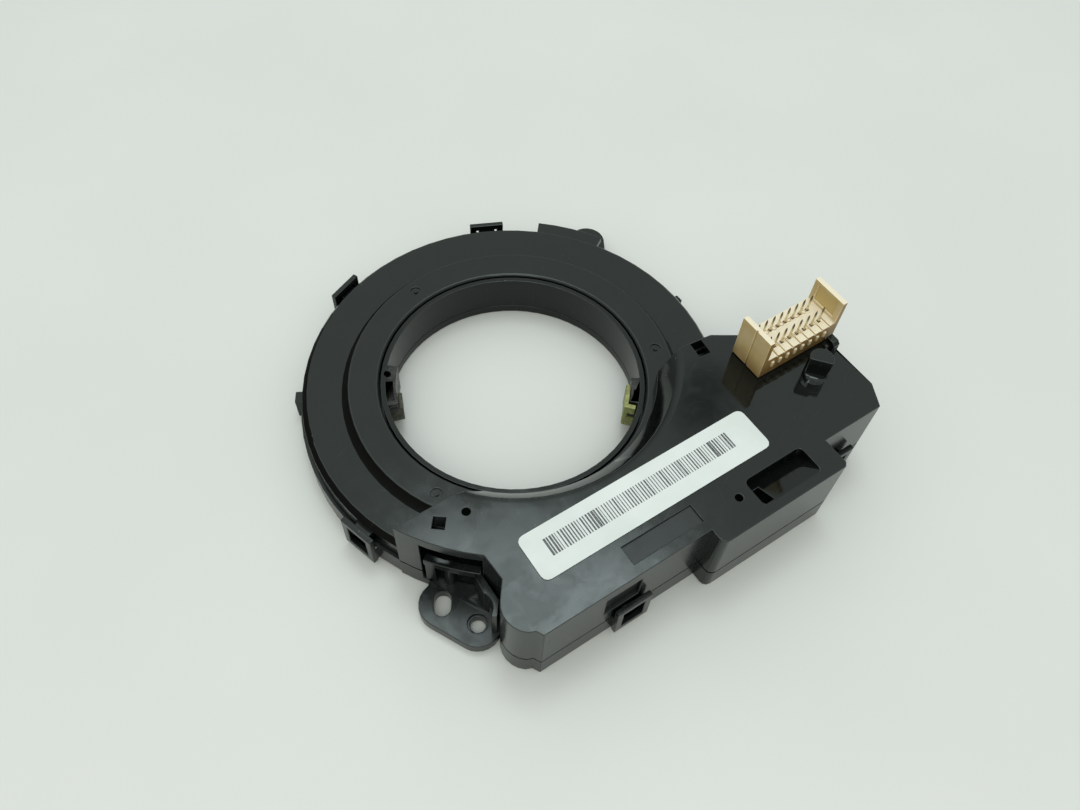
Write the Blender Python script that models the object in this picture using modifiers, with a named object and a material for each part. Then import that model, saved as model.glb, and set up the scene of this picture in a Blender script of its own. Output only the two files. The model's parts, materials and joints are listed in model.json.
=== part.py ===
"""Steering angle sensor: a moulded ring with a box on one side, a turning ring geared to two small magnet gears,
a circuit board with magnetic sensors, and a two-row pin header.

Lengths in this file are in millimetres and are turned into metres where a shape is made.
The ring's axis is X = Y = 0 of the empty that carries every piece. Z = 0 is the face of the lower cover."""

import math

import bmesh
import bpy
from mathutils import Vector

MM = 0.001

# Walls and clearances
WALL = 1.4
FLOOR = 1.4
TRAY_FLOOR = 1.6
ROOF = 1.5
SEAM_GAP = 0.3
FIT_GAP = 0.3
TOOTH_BACKLASH = 0.5
GEAR_WALL_GAP = 0.05

# Heights of the housing, from the face of the lower cover
SEAM_HEIGHT = 6.1
RING_HEIGHT = 10.6
RIM_RISE = 1.7
BOX_HEIGHT = 21.6

# Ring of the housing, seen from above
BORE_RADIUS = 30.75
LEDGE_WIDTH = 1.9
RIM_WIDTH = 7.05
RIM_FLARE = 1.1
RING_RADIUS = 48.2
COVER_LIP = 0.8
EDGE_FILLET = 0.6
SKIRT_WALL = 1.15
ROUND_STEPS = 64

# Slope of the box beside the bore
SLOPE_FOOT_DROP = 5.3
SLOPE_RUN = 3.3
SLOPE_TOP_DROP = 1.0
SLOPE_ROUND = 1.75

# Outline of the box
END_LEFT_Y = -23.6
END_RIGHT_Y = -18.7
SHOULDER_X = 40.3
SHOULDER_RUN = 6.8
SHOULDER_STEP = 0.8
SHOULDER_START = 2.0
WAIST_ANGLE = -129.28
WAIST_INSET = 0.24
WAIST_LENGTH = 6.1
BULGE_RIGHT = 2.1
BULGE_DROP = 6.9
BULGE_RADIUS = 5.7
BULGE_START = 143.0
BULGE_END = 233.0
FRONT_REACH = 9.3
BUMP_LEFT = 9.5
BUMP_RIGHT = 43.2
BUMP_DEPTH = 3.8
BUMP_ROUND = 1.6
NOTCH_STEP = 3.2
BOX_RIGHT = 62.2
CORNER_CUT_X = 2.8
CORNER_CUT_Y = 5.3
BACK_Y = -24.0
BACK_LEFT_X = 47.5

# Holes, pockets and pads in the top of the box
SQUARE_HOLE_INSET = 4.73
SQUARE_HOLE_ANGLE = -141.8
SQUARE_HOLE_SIZE = 2.6
SQUARE_HOLE_TURN = math.radians(-38)
ROUND_HOLE_INSET = 8.6
ROUND_HOLE_ANGLE = -136.0
ROUND_HOLE_DIAMETER = 1.8
DOT_HOLE_X = 18.7
DOT_HOLE_STEP = 2.6
DOT_HOLE_DIAMETER = 1.75
SHOULDER_SLOT = (35.9, -21.3)
SHOULDER_SLOT_LENGTH = 3.9
SHOULDER_SLOT_WIDTH = 2.9
POCKET_LEFT = 22.0
POCKET_RIGHT = 37.4
POCKET_STEP = 4.9
POCKET_LENGTH = 6.7
POCKET_DEPTH = 3.0
POCKET_ROUND = 1.2
LATCH_SLOT_LEFT = 22.3
LATCH_SLOT_WIDTH = 2.4
LATCH_SLOT_STEP = 2.9
LATCH_SLOT_LENGTH = 4.3
LATCH_SLOT_DEPTH = 5.0
PANEL_LEFT = -7.9
PANEL_RIGHT = 9.3
PANEL_STEP = 2.4
PANEL_WIDTH = 4.2
PANEL_DEPTH = 0.45
SIDE_RECESS_LEFT = -15.5
SIDE_RECESS_RIGHT = -7.1
SIDE_RECESS_BOTTOM = 11.0
SIDE_RECESS_TOP = 18.3
SIDE_RECESS_DEPTH = 0.8

# Moulding gates on the rim
GATE_ANGLES = (101.0, -18.6, -150.5)
GATE_CIRCLE = 34.6
GATE_RADIUS = 1.3
GATE_NUB_RADIUS = 0.55
GATE_DEPTH = 0.3

# Snap loops of the lower cover and the hooks of the upper housing that they hold
LOOP_WIDTH = 8.6
LOOP_LEG = 1.6
LOOP_BAR = 1.6
LOOP_THICKNESS = 1.2
LOOP_STAND = 1.7
LOOP_FOOT = 1.0
LOOP_TOP = 10.6
HOOK_WIDTH = 4.2
HOOK_RISE = 1.9
HOOK_REACH = 1.3
RING_LOOP_ANGLES = (-162.8, 113.5, 65.5)
FRONT_LOOP_X = -8.7
NOTCH_LOOP_X = 50.5

# Alcove in the curved side of the box, with the strap of the lower cover across it
ALCOVE_START = -144.9
ALCOVE_END = -129.7
ALCOVE_DEPTH = 5.6
ALCOVE_TOP = 18.7
STRAP_TOP = 12.2
STRAP_BOTTOM = 10.0
STRAP_WIDTH = 1.7
STRAP_LEG_ANGLE = 2.8
CURVED_WALL_RADIUS = 3.2
CURVED_WALL_START = 35.0
CURVED_WALL_END = -52.0

# Mounting ears
EAR_THICKNESS = 2.9
EAR_RADIUS = 5.0
EAR_SLOT_REACH = 5.0
EAR_SLOT_ANGLE = -138.43
EAR_SLOT_LENGTH = 1.9
EAR_SLOT_WIDTH = 3.6
EAR_HOLE_REACH = 7.74
EAR_HOLE_ANGLE = -129.92
EAR_HOLE_DIAMETER = 3.3
EAR_SINK_DIAMETER = 4.3
EAR_SINK_DEPTH = 0.8
BACK_EAR_ANGLE = 36.3
BACK_EAR_REACH = 7.4
BACK_EAR_RADIUS = 4.6
BRIDGE_START = 31.0
BRIDGE_END = 50.0
BRIDGE_REACH = 3.6
BRIDGE_THICKNESS = 1.6

# Peg and rib on the top of the box
PEG = (52.7, -40.5)
PEG_DIAMETER = 5.4
PEG_HEIGHT = 6.4
PEG_FLAT = 1.0
PEG_FLAT_ANGLE = -139.5
PEG_FLAT_RISE = 1.6
RIB_LEFT = 60.3
RIB_RIGHT = 62.1
RIB_FRONT_Y = -38.0
RIB_BACK_Y = -35.2
RIB_HEIGHT = 2.9

# Turning ring
ROTOR_WALL = 1.15
ROTOR_PLAY = 0.4
ROTOR_DROP = 0.5
COLLAR_HEIGHT = 2.3
TRACK_HEIGHT = 3.7
TRACK_WIDTH = 1.8
FLANGE_THICKNESS = 4.0
LUG_HEIGHT = 8.6
LUG_LEFT_START = 141.0
LUG_LEFT_END = 163.4
LUG_LEFT_REACH = 3.4
LUG_LEFT_BORE_RADIUS = 0.85
LUG_LEFT_BORE_INSET = 2.0
LUG_LEFT_BORE_AWAY = 5.0
LUG_LEFT_POCKET_AWAY = 9.4
LUG_LEFT_POCKET_LENGTH = 10.4
LUG_RIGHT_START = -46.0
LUG_RIGHT_END = -32.0
LUG_RIGHT_REACH = 3.05
LUG_RIGHT_POCKET_AWAY = 0.9
LUG_RIGHT_POCKET_LENGTH = 6.4
LUG_WALL = 0.6
LUG_SHELF = 3.0
LUG_SHELF_AWAY = 5.0
LUG_TONGUE_LENGTH = 2.3
LUG_TONGUE_DROP = 3.2
LUG_TONGUE_HEIGHT = 1.2
PAD_THICKNESS = 1.0
PAD_FOOT = 0.6
PAD_TOP_DROP = 0.7
PAD_END_LENGTH = 2.4
PAD_LEFT_AWAY = 11.0
PAD_LEFT_SHORT = 1.6
PAD_RIGHT_SHORT = 3.0

# Teeth
PITCH_WIDTH = 4.35
ROTOR_TEETH = 66
GEAR_A_TEETH = 21
GEAR_B_TEETH = 19
TIP_SHARE = 0.8
ROOT_SHARE = 1.15
GEAR_A_ANGLE = -108.0
GEAR_B_ANGLE = -70.0
SPINDLE_RADIUS = 1.5
SPINDLE_HEIGHT = 9.0
SHOULDER_RADIUS = 2.6
GEAR_THICKNESS = 4.2
HUB_RADIUS = 4.0
MAGNET_RADIUS = 2.9
MAGNET_THICKNESS = 2.0

# Circuit board
BOARD_THICKNESS = 1.6
BOARD_DROP = 1.5
BOARD_EDGE_GAP = 0.6
BOARD_ALCOVE_BEFORE = 12.0
BOARD_ALCOVE_AFTER = 2.8
SCREW_LEFT_INSET = 6.8
SCREW_LEFT_STEP = 6.9
SCREW_RIGHT_X = 45.5
SCREW_RIGHT_STEP = 7.1
SCREW_BACK = (40.6, -24.6)
SCREW_SHAFT_RADIUS = 0.9
SCREW_HEAD_RADIUS = 2.0
SCREW_HEAD_HEIGHT = 1.3
BOSS_RADIUS = 2.3
SENSOR_CHIP_SIZE = (5.0, 4.4, 1.2)

# Pin header
HEADER_LEFT = 41.35
HEADER_RIGHT = 63.6
HEADER_BACK_Y = -25.8
HEADER_FRONT_Y = -34.6
HEADER_FLOOR_RISE = 5.7
HEADER_RISE = 12.0
HEADER_WALL = 1.25
HEADER_PLUG_LEFT = 42.9
HEADER_PLUG_RIGHT = 60.7
HEADER_PLUG_EDGE = 0.8
PIN_PITCH = 2.2
PIN_COUNT = 8
PIN_START_X = 44.25
PIN_FRONT_Y = -32.1
PIN_BACK_Y = -28.3
PIN_SIZE = 0.56
PIN_RISE = 10.4
PIN_TIP = 0.7
PIN_HOLE_GAP = 0.14
GROOVE_WIDTH = 0.3
GROOVE_DEPTH = 0.4
HEADER_PANEL_EDGE = 1.4
HEADER_PANEL_FRAME = 0.8
HEADER_NUB_RADIUS = 0.45
HEADER_NUB_BOTTOM_RISE = 2.9
HEADER_NUB_TOP_RISE = 4.5

# Label
LABEL_LEFT = -24.4
LABEL_RIGHT = 32.6
LABEL_STEP = 8.4
LABEL_WIDTH = 10.5
LABEL_THICKNESS = 0.15
LABEL_ROUND = 1.5
LABEL_GLUE = 0.1

# Sizes that follow
rim_height = RING_HEIGHT + RIM_RISE
cover_radius = RING_RADIUS + COVER_LIP
side_radius = cover_radius + 0.2
ledge_radius = BORE_RADIUS + LEDGE_WIDTH
rim_radius = BORE_RADIUS + RIM_WIDTH
upper_bottom = SEAM_HEIGHT + SEAM_GAP
skirt_radius = BORE_RADIUS + SKIRT_WALL
flange_bottom = TRACK_HEIGHT + FIT_GAP
flange_top = flange_bottom + FLANGE_THICKNESS
skirt_bottom = flange_top + ROTOR_PLAY
rotor_out = BORE_RADIUS - ROTOR_PLAY
rotor_in = rotor_out - ROTOR_WALL
rotor_bottom = COLLAR_HEIGHT + FIT_GAP
rotor_top = rim_height - ROTOR_DROP
track_in = rotor_out + ROTOR_PLAY
roof_under = BOX_HEIGHT - ROOF
slope_foot = BOX_HEIGHT - SLOPE_FOOT_DROP
slope_top = BOX_HEIGHT - SLOPE_TOP_DROP
board_top = roof_under - BOARD_DROP
board_bottom = board_top - BOARD_THICKNESS
pitch_radius = BORE_RADIUS + PITCH_WIDTH
module = 2 * pitch_radius / ROTOR_TEETH
loop_window_top = LOOP_TOP - LOOP_BAR
alcove_radius = side_radius - ALCOVE_DEPTH
header_floor = BOX_HEIGHT + HEADER_FLOOR_RISE
header_top = BOX_HEIGHT + HEADER_RISE
pin_top = BOX_HEIGHT + PIN_RISE


def clear_scene():
    for obj in list(bpy.data.objects):
        bpy.data.objects.remove(obj, do_unlink=True)


clear_scene()
parts = bpy.data.collections.new("steering_angle_sensor")
cutters = bpy.data.collections.new("cutters")
for group in (parts, cutters):
    bpy.context.scene.collection.children.link(group)
sensor_frame = bpy.data.objects.new("sensor_frame", None)
parts.objects.link(sensor_frame)


def material(name, colour, roughness, metallic=0.0):
    made = bpy.data.materials.new(name)
    made.use_nodes = True
    shader = made.node_tree.nodes["Principled BSDF"]
    shader.inputs["Base Color"].default_value = (*colour, 1.0)
    shader.inputs["Roughness"].default_value = roughness
    shader.inputs["Metallic"].default_value = metallic
    made.diffuse_color = (*colour, 1.0)
    return made


def polar(radius, degrees, centre=(0.0, 0.0)):
    turn = math.radians(degrees)
    return (centre[0] + radius * math.cos(turn), centre[1] + radius * math.sin(turn))


def arc(radius, start, end, step, centre=(0.0, 0.0)):
    """Points on an arc from one angle to another, both included."""
    count = max(1, math.ceil(abs(end - start) / step - 1e-6))
    return [polar(radius, start + (end - start) * i / count, centre) for i in range(count + 1)]


def rectangle(left, front, right, back, corner=0.0):
    if corner <= 0:
        return [(left, front), (right, front), (right, back), (left, back)]
    points = []
    for x, y, start in (
        (right - corner, front + corner, -90),
        (right - corner, back - corner, 0),
        (left + corner, back - corner, 90),
        (left + corner, front + corner, 180),
    ):
        points += arc(corner, start, start + 90, 30, (x, y))
    return points


def moved_in(points, distance):
    """A counterclockwise outline with each side moved inwards. A side that would turn round is left out."""
    sides = [(Vector(a), Vector(b)) for a, b in zip(points, points[1:] + points[:1])]
    while True:
        lines = []
        for a, b in sides:
            along = (b - a).normalized()
            inward = Vector((-along.y, along.x))
            lines.append((a + inward * distance, along))
        corners = []
        for (p, u), (q, v) in zip(lines[-1:] + lines[:-1], lines):
            turn = u.x * v.y - u.y * v.x
            if abs(turn) < 1e-6:
                corners.append(q)
            else:
                gap = q - p
                corners.append(p + u * ((gap.x * v.y - gap.y * v.x) / turn))
        ahead = corners[1:] + corners[:1]
        kept = [s for s, line, a, b in zip(sides, lines, corners, ahead) if (b - a).dot(line[1]) > 1e-6]
        if len(kept) == len(sides):
            return [tuple(c) for c in corners]
        sides = kept


def put(obj, group, parent):
    group.objects.link(obj)
    obj.parent = parent
    if group is cutters:
        obj.hide_render = True
        obj.display_type = "WIRE"
    return obj


def plate(name, loops, bottom, top, group=cutters, parent=None, upright=None, at=(0.0, 0.0)):
    """A flat outline given thickness. Upright ones stand on the outline's second axis: 'across' has its
    thickness along the radius of the given angle, and 'along' has its outline in the plane of that radius."""
    curve = bpy.data.curves.new(name, "CURVE")
    curve.dimensions = "2D"
    curve.fill_mode = "BOTH"
    curve.extrude = (top - bottom) / 2 * MM
    for loop in loops:
        spline = curve.splines.new("POLY")
        spline.points.add(len(loop) - 1)
        for point, (x, y) in zip(spline.points, loop):
            point.co = (x * MM, y * MM, 0, 1)
        spline.use_cyclic_u = True
    guide = bpy.data.objects.new(name, curve)
    bpy.context.scene.collection.objects.link(guide)
    middle = (top + bottom) / 2 * MM
    if upright is None:
        guide.location = (at[0] * MM, at[1] * MM, middle)
    else:
        kind, angle = upright
        turn = math.radians(angle)
        if kind == "across":
            guide.rotation_euler = (math.pi / 2, 0, turn + math.pi / 2)
            guide.location = Vector((at[0] * MM, at[1] * MM, 0)) + middle * Vector((math.cos(turn), math.sin(turn), 0))
        else:
            guide.rotation_euler = (math.pi / 2, 0, turn)
            guide.location = Vector((at[0] * MM, at[1] * MM, 0)) + middle * Vector((math.sin(turn), -math.cos(turn), 0))
    bpy.context.view_layer.update()
    graph = bpy.context.evaluated_depsgraph_get()
    mesh = bpy.data.meshes.new_from_object(guide.evaluated_get(graph))
    mesh.name = name
    shape = bmesh.new()
    shape.from_mesh(mesh)
    bmesh.ops.remove_doubles(shape, verts=shape.verts, dist=1e-7)
    bmesh.ops.dissolve_limit(shape, angle_limit=1e-3, verts=shape.verts, edges=shape.edges)
    bmesh.ops.recalc_face_normals(shape, faces=shape.faces)
    shape.to_mesh(mesh)
    shape.free()
    made = bpy.data.objects.new(name, mesh)
    made.matrix_world = guide.matrix_world.copy()
    bpy.data.objects.remove(guide, do_unlink=True)
    bpy.data.curves.remove(curve)
    made.name = name
    return put(made, group, parent or sensor_frame)


def block(name, left, front, bottom, right, back, top, group=cutters, parent=None):
    shape = bmesh.new()
    bmesh.ops.create_cube(shape, size=1.0)
    size = Vector((right - left, back - front, top - bottom)) * MM
    bmesh.ops.scale(shape, verts=shape.verts, vec=size)
    mesh = bpy.data.meshes.new(name)
    shape.to_mesh(mesh)
    shape.free()
    made = bpy.data.objects.new(name, mesh)
    made.location = Vector((left + right, front + back, bottom + top)) * (MM / 2)
    return put(made, group, parent or sensor_frame)


def turned(name, profile, steps=ROUND_STEPS, group=cutters, parent=None, at=(0.0, 0.0)):
    """A closed profile of (radius, height) points, outer side first from top to bottom, turned about Z."""
    area = sum(a[0] * b[1] - b[0] * a[1] for a, b in zip(profile, profile[1:] + profile[:1]))
    if area > 0:
        profile = profile[::-1]
    mesh = bpy.data.meshes.new(name)
    edges = [(i, (i + 1) % len(profile)) for i in range(len(profile))]
    touches_axis = [i for i, (radius, _) in enumerate(profile) if radius <= 0]
    if len(touches_axis) == 2:
        edges = [e for e in edges if set(e) != set(touches_axis)]
    mesh.from_pydata([(radius * MM, 0, height * MM) for radius, height in profile], edges, [])
    made = bpy.data.objects.new(name, mesh)
    made.location = (at[0] * MM, at[1] * MM, 0)
    spin = made.modifiers.new("turn", "SCREW")
    spin.steps = spin.render_steps = steps
    spin.use_merge_vertices = True
    spin.merge_threshold = 1e-7
    spin.use_smooth_shade = False
    return put(made, group, parent or sensor_frame)


def disc(name, radius, bottom, top, at, steps=16, group=cutters, parent=None):
    return turned(name, [(0, top), (radius, top), (radius, bottom), (0, bottom)], steps, group, parent, at)


def sector(name, inner, outer, start, end, bottom, top, step=5.0, group=cutters, parent=None):
    outline = arc(outer, start, end, step) + arc(inner, end, start, step)
    return plate(name, [outline], bottom, top, group, parent)


def boolean(target, others, operation):
    for other in others:
        change = target.modifiers.new(other.name, "BOOLEAN")
        change.operation = operation
        change.object = other
        change.solver = "EXACT"


def cut(target, *others):
    boolean(target, others, "DIFFERENCE")


def join(target, *others):
    boolean(target, others, "UNION")


def finish(obj, look, angle=30.0):
    """Gives a piece its material and marks the edges that stay sharp."""
    obj.data.materials.clear()
    obj.data.materials.append(look)
    for modifier in obj.modifiers:
        if modifier.type == "SCREW":
            modifier.use_smooth_shade = True
    obj.data.shade_smooth()
    obj.data.set_sharp_from_angle(angle=math.radians(angle))
    return obj


black_plastic = material("black_moulded_plastic", (0.018, 0.020, 0.021), 0.38)
cover_plastic = material("black_cover_plastic", (0.020, 0.022, 0.023), 0.42)
rotor_plastic = material("black_rotor_plastic", (0.016, 0.017, 0.018), 0.45)
gear_plastic = material("grey_gear_plastic", (0.55, 0.54, 0.50), 0.5)
magnet_grey = material("sintered_magnet", (0.16, 0.16, 0.17), 0.45, 0.8)
pad_rubber = material("green_elastomer", (0.36, 0.40, 0.11), 0.7)
ivory_plastic = material("ivory_header_plastic", (0.78, 0.60, 0.34), 0.5)
pin_metal = material("tinned_pin", (0.72, 0.62, 0.42), 0.32, 1.0)
label_paper = material("white_label", (0.80, 0.84, 0.82), 0.45)
board_green = material("green_board", (0.03, 0.16, 0.07), 0.45)
chip_black = material("chip_package", (0.02, 0.02, 0.02), 0.5)
chip_brown = material("ceramic_capacitor", (0.36, 0.25, 0.15), 0.5)
metal_can = material("metal_can", (0.65, 0.65, 0.66), 0.3, 1.0)
screw_steel = material("zinc_screw", (0.62, 0.62, 0.60), 0.35, 1.0)


# Places of the measuring gears, and the front of the box, which clears both the ring and the gears
gear_places = {}
gear_reach = 0.0
for name, teeth, angle in (("a", GEAR_A_TEETH, GEAR_A_ANGLE), ("b", GEAR_B_TEETH, GEAR_B_ANGLE)):
    gear_places[name] = polar(module * (ROTOR_TEETH + teeth) / 2, angle)
    gear_reach = max(gear_reach, module * (teeth / 2 + TIP_SHARE) - gear_places[name][1])
front_y = -max(RING_RADIUS + FRONT_REACH, gear_reach + GEAR_WALL_GAP + WALL)
notch_y = front_y + NOTCH_STEP
waist_x, waist_top_y = polar(side_radius - WAIST_INSET, WAIST_ANGLE)
waist_low_y = waist_top_y - WAIST_LENGTH
bulge = (waist_x + BULGE_RIGHT, waist_low_y - BULGE_DROP)

# Places that follow the ring and the front of the box
square_hole = polar(side_radius - SQUARE_HOLE_INSET, SQUARE_HOLE_ANGLE)
round_hole = polar(side_radius - ROUND_HOLE_INSET, ROUND_HOLE_ANGLE)
ear_slot_middle = polar(RING_RADIUS + EAR_SLOT_REACH, EAR_SLOT_ANGLE)
ear_hole_middle = polar(RING_RADIUS + EAR_HOLE_REACH, EAR_HOLE_ANGLE)
back_hole = polar(RING_RADIUS + BACK_EAR_REACH, BACK_EAR_ANGLE)
pocket_back = front_y + POCKET_STEP
pocket_front = pocket_back - POCKET_LENGTH
latch_slot_back = front_y + LATCH_SLOT_STEP
screws = (
    (waist_x + SCREW_LEFT_INSET, front_y + SCREW_LEFT_STEP),
    (SCREW_RIGHT_X, front_y + SCREW_RIGHT_STEP),
    SCREW_BACK,
)

# Outline of the box, counterclockwise from its left end
side_start = -180 + math.degrees(math.asin(-END_LEFT_Y / side_radius))
inner_start = -math.degrees(math.asin(-END_RIGHT_Y / ledge_radius))
inner_end = -180 + math.degrees(math.asin(-END_LEFT_Y / ledge_radius))
shoulder_start = max(SHOULDER_X - SHOULDER_RUN, polar(ledge_radius, inner_start)[0] + SHOULDER_START)
bump_front = front_y - BUMP_DEPTH
box_outline = (
    arc(side_radius, side_start, WAIST_ANGLE, 4.5)
    + [(waist_x + 0.2, waist_low_y)]
    + arc(BULGE_RADIUS, BULGE_START, BULGE_END, 15, bulge)
    + [(waist_x, front_y + 1.5), (waist_x + 0.8, front_y)]
    + [(BUMP_LEFT, front_y)]
    + arc(BUMP_ROUND, 180, 270, 30, (BUMP_LEFT + BUMP_ROUND, bump_front + BUMP_ROUND))
    + [(BUMP_RIGHT - 0.8, bump_front), (BUMP_RIGHT, bump_front + 0.8)]
    + [(BUMP_RIGHT, notch_y), (BOX_RIGHT - CORNER_CUT_X, notch_y), (BOX_RIGHT, notch_y + CORNER_CUT_Y)]
    + [(BOX_RIGHT, BACK_Y), (BACK_LEFT_X, BACK_Y), (SHOULDER_X, END_RIGHT_Y - SHOULDER_STEP)]
    + [(shoulder_start, END_RIGHT_Y)]
    + arc(ledge_radius, inner_start, inner_end, 5.0)
)
box_inside = moved_in(box_outline, WALL)


def slope_profile(grow, lower):
    """Section of what the slope beside the bore takes away, moved outwards by grow and down by lower."""
    run = SLOPE_RUN / (slope_top - slope_foot)
    below = 2.0
    return [
        (0, BOX_HEIGHT + 3),
        (ledge_radius + SLOPE_RUN + SLOPE_ROUND + 2.0 * SLOPE_ROUND + grow, BOX_HEIGHT + 2.0 * SLOPE_TOP_DROP - lower),
        (ledge_radius + SLOPE_RUN + grow, slope_top - lower),
        (ledge_radius - run * below + grow, slope_foot - below - lower),
        (0, slope_foot - below - lower),
    ]


# Upper housing: stepped ring and box, hollowed from below
upper_housing = turned(
    "upper_housing",
    [
        (BORE_RADIUS + 0.4, rim_height),
        (rim_radius - 0.3, rim_height),
        (rim_radius, rim_height - 0.3),
        (rim_radius + RIM_FLARE, RING_HEIGHT),
        (RING_RADIUS - EDGE_FILLET, RING_HEIGHT),
        (RING_RADIUS, RING_HEIGHT - EDGE_FILLET),
        (RING_RADIUS, upper_bottom - 1.5),
        (skirt_radius + 0.1, upper_bottom - 1.5),
        (skirt_radius + 0.1, skirt_bottom),
        (BORE_RADIUS, skirt_bottom),
        (BORE_RADIUS, rim_height - 0.4),
    ],
    group=parts,
)
box_solid = plate("box_solid", [box_outline], upper_bottom - 1.0, BOX_HEIGHT)
cut(box_solid, turned("slope_cutter", slope_profile(0, 0)))
join(upper_housing, box_solid)
cut(upper_housing, block("below_seam", -90, -90, -5, 90, 90, upper_bottom))

ring_channel = turned(
    "ring_channel",
    [
        (rim_radius - WALL, rim_height - WALL),
        (rim_radius - 0.2, RING_HEIGHT - WALL),
        (RING_RADIUS - WALL, RING_HEIGHT - WALL),
        (RING_RADIUS - WALL, upper_bottom - 2),
        (skirt_radius, upper_bottom - 2),
        (skirt_radius, rim_height - WALL),
    ],
)
box_hollow = plate("box_hollow", [box_inside], upper_bottom - 1, roof_under)
alcove_keep = sector(
    "alcove_keep", alcove_radius - WALL, side_radius + 2, ALCOVE_START - 1.8, ALCOVE_END + 1.8, -1, BOX_HEIGHT + 1
)
pocket_keep = block(
    "pocket_keep", POCKET_LEFT - WALL, bump_front - 1, BOX_HEIGHT - LATCH_SLOT_DEPTH - WALL,
    POCKET_RIGHT + WALL, pocket_back + WALL, BOX_HEIGHT + 1,
)
cut(box_hollow, turned("slope_keep", slope_profile(WALL, 0.4)), alcove_keep, pocket_keep)
for i, place in enumerate(screws):
    cut(box_hollow, disc(f"boss_keep_{i}", BOSS_RADIUS, board_top + FIT_GAP, BOX_HEIGHT, place))
cut(upper_housing, ring_channel, box_hollow)
cut(
    upper_housing,
    sector("alcove", alcove_radius, side_radius + 1.5, ALCOVE_START, ALCOVE_END, upper_bottom - 1, ALCOVE_TOP),
)
for i, place in enumerate(screws):
    cut(
        upper_housing,
        disc(f"boss_bore_{i}", SCREW_SHAFT_RADIUS + FIT_GAP, board_top - 1, BOX_HEIGHT - 0.6, place, 12),
    )

# Holes and pockets in the top of the box
half = SQUARE_HOLE_SIZE / 2
square = plate(
    "square_hole", [rectangle(-half, -half, half, half)], ALCOVE_TOP - 1, BOX_HEIGHT + 1, at=square_hole
)
square.rotation_euler = (0, 0, SQUARE_HOLE_TURN)
slot = plate(
    "shoulder_slot",
    [rectangle(-SHOULDER_SLOT_WIDTH / 2, -SHOULDER_SLOT_LENGTH / 2, SHOULDER_SLOT_WIDTH / 2, SHOULDER_SLOT_LENGTH / 2)],
    roof_under - 1, BOX_HEIGHT + 1, at=SHOULDER_SLOT,
)
slot.rotation_euler = (0, 0, math.radians(-6))
pocket = plate(
    "pocket",
    [rectangle(POCKET_LEFT, pocket_front, POCKET_RIGHT, pocket_back, POCKET_ROUND)],
    BOX_HEIGHT - POCKET_DEPTH, BOX_HEIGHT + 1,
)
fall = POCKET_DEPTH / POCKET_LENGTH
cut(
    pocket,
    plate(
        "pocket_ramp",
        [[
            (pocket_back + 1, BOX_HEIGHT - POCKET_DEPTH - fall),
            (pocket_front - 2, BOX_HEIGHT + 2 * fall),
            (pocket_front - 2, BOX_HEIGHT - 2 * POCKET_DEPTH),
            (pocket_back + 1, BOX_HEIGHT - 2 * POCKET_DEPTH),
        ]],
        POCKET_LEFT - 1, POCKET_RIGHT + 1, upright=("along", 90),
    ),
)
cut(
    upper_housing,
    square,
    slot,
    disc("round_hole", ROUND_HOLE_DIAMETER / 2, roof_under - 1, BOX_HEIGHT + 1, round_hole, 12),
    disc(
        "dot_hole", DOT_HOLE_DIAMETER / 2, roof_under - 1, BOX_HEIGHT + 1, (DOT_HOLE_X, front_y + DOT_HOLE_STEP), 12
    ),
    pocket,
    block(
        "latch_slot", LATCH_SLOT_LEFT, latch_slot_back - LATCH_SLOT_LENGTH, BOX_HEIGHT - LATCH_SLOT_DEPTH,
        LATCH_SLOT_LEFT + LATCH_SLOT_WIDTH, latch_slot_back, BOX_HEIGHT + 1,
    ),
    block(
        "panel", PANEL_LEFT, front_y + PANEL_STEP, BOX_HEIGHT - PANEL_DEPTH,
        PANEL_RIGHT, front_y + PANEL_STEP + PANEL_WIDTH, BOX_HEIGHT + 1,
    ),
    block(
        "side_recess", SIDE_RECESS_LEFT, front_y - 1, SIDE_RECESS_BOTTOM,
        SIDE_RECESS_RIGHT, front_y + SIDE_RECESS_DEPTH, SIDE_RECESS_TOP,
    ),
    block(
        "header_opening", HEADER_PLUG_LEFT - FIT_GAP, HEADER_FRONT_Y + HEADER_PLUG_EDGE - FIT_GAP, roof_under - 1,
        HEADER_PLUG_RIGHT + FIT_GAP, HEADER_BACK_Y - HEADER_PLUG_EDGE + FIT_GAP, BOX_HEIGHT + 1,
    ),
)
for i, angle in enumerate(GATE_ANGLES):
    gate = [
        (GATE_RADIUS, rim_height + 1),
        (GATE_RADIUS, rim_height - GATE_DEPTH),
        (GATE_NUB_RADIUS, rim_height - GATE_DEPTH),
        (GATE_NUB_RADIUS, rim_height + 1),
    ]
    cut(upper_housing, turned(f"gate_{i}", gate, 12, at=polar(GATE_CIRCLE, angle)))

# Peg with a flat on its near side, and the rib beside the header
peg = disc("peg", PEG_DIAMETER / 2, BOX_HEIGHT - 0.5, BOX_HEIGHT + PEG_HEIGHT, PEG, 20)
peg_flat = plate(
    "peg_flat", [rectangle(PEG_FLAT, -PEG_DIAMETER, PEG_FLAT + PEG_DIAMETER, PEG_DIAMETER)],
    BOX_HEIGHT + PEG_FLAT_RISE, BOX_HEIGHT + PEG_HEIGHT + 1, at=PEG,
)
peg_flat.rotation_euler = (0, 0, math.radians(PEG_FLAT_ANGLE))
cut(peg, peg_flat)
rib_round = 0.8
rib = plate(
    "rib",
    [[
        (RIB_FRONT_Y, BOX_HEIGHT - 0.5),
        (RIB_BACK_Y, BOX_HEIGHT - 0.5),
        (RIB_BACK_Y, BOX_HEIGHT + RIB_HEIGHT),
        (RIB_FRONT_Y + rib_round, BOX_HEIGHT + RIB_HEIGHT),
        (RIB_FRONT_Y, BOX_HEIGHT + RIB_HEIGHT - rib_round),
    ]],
    RIB_LEFT, RIB_RIGHT, upright=("along", 90),
)
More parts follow.
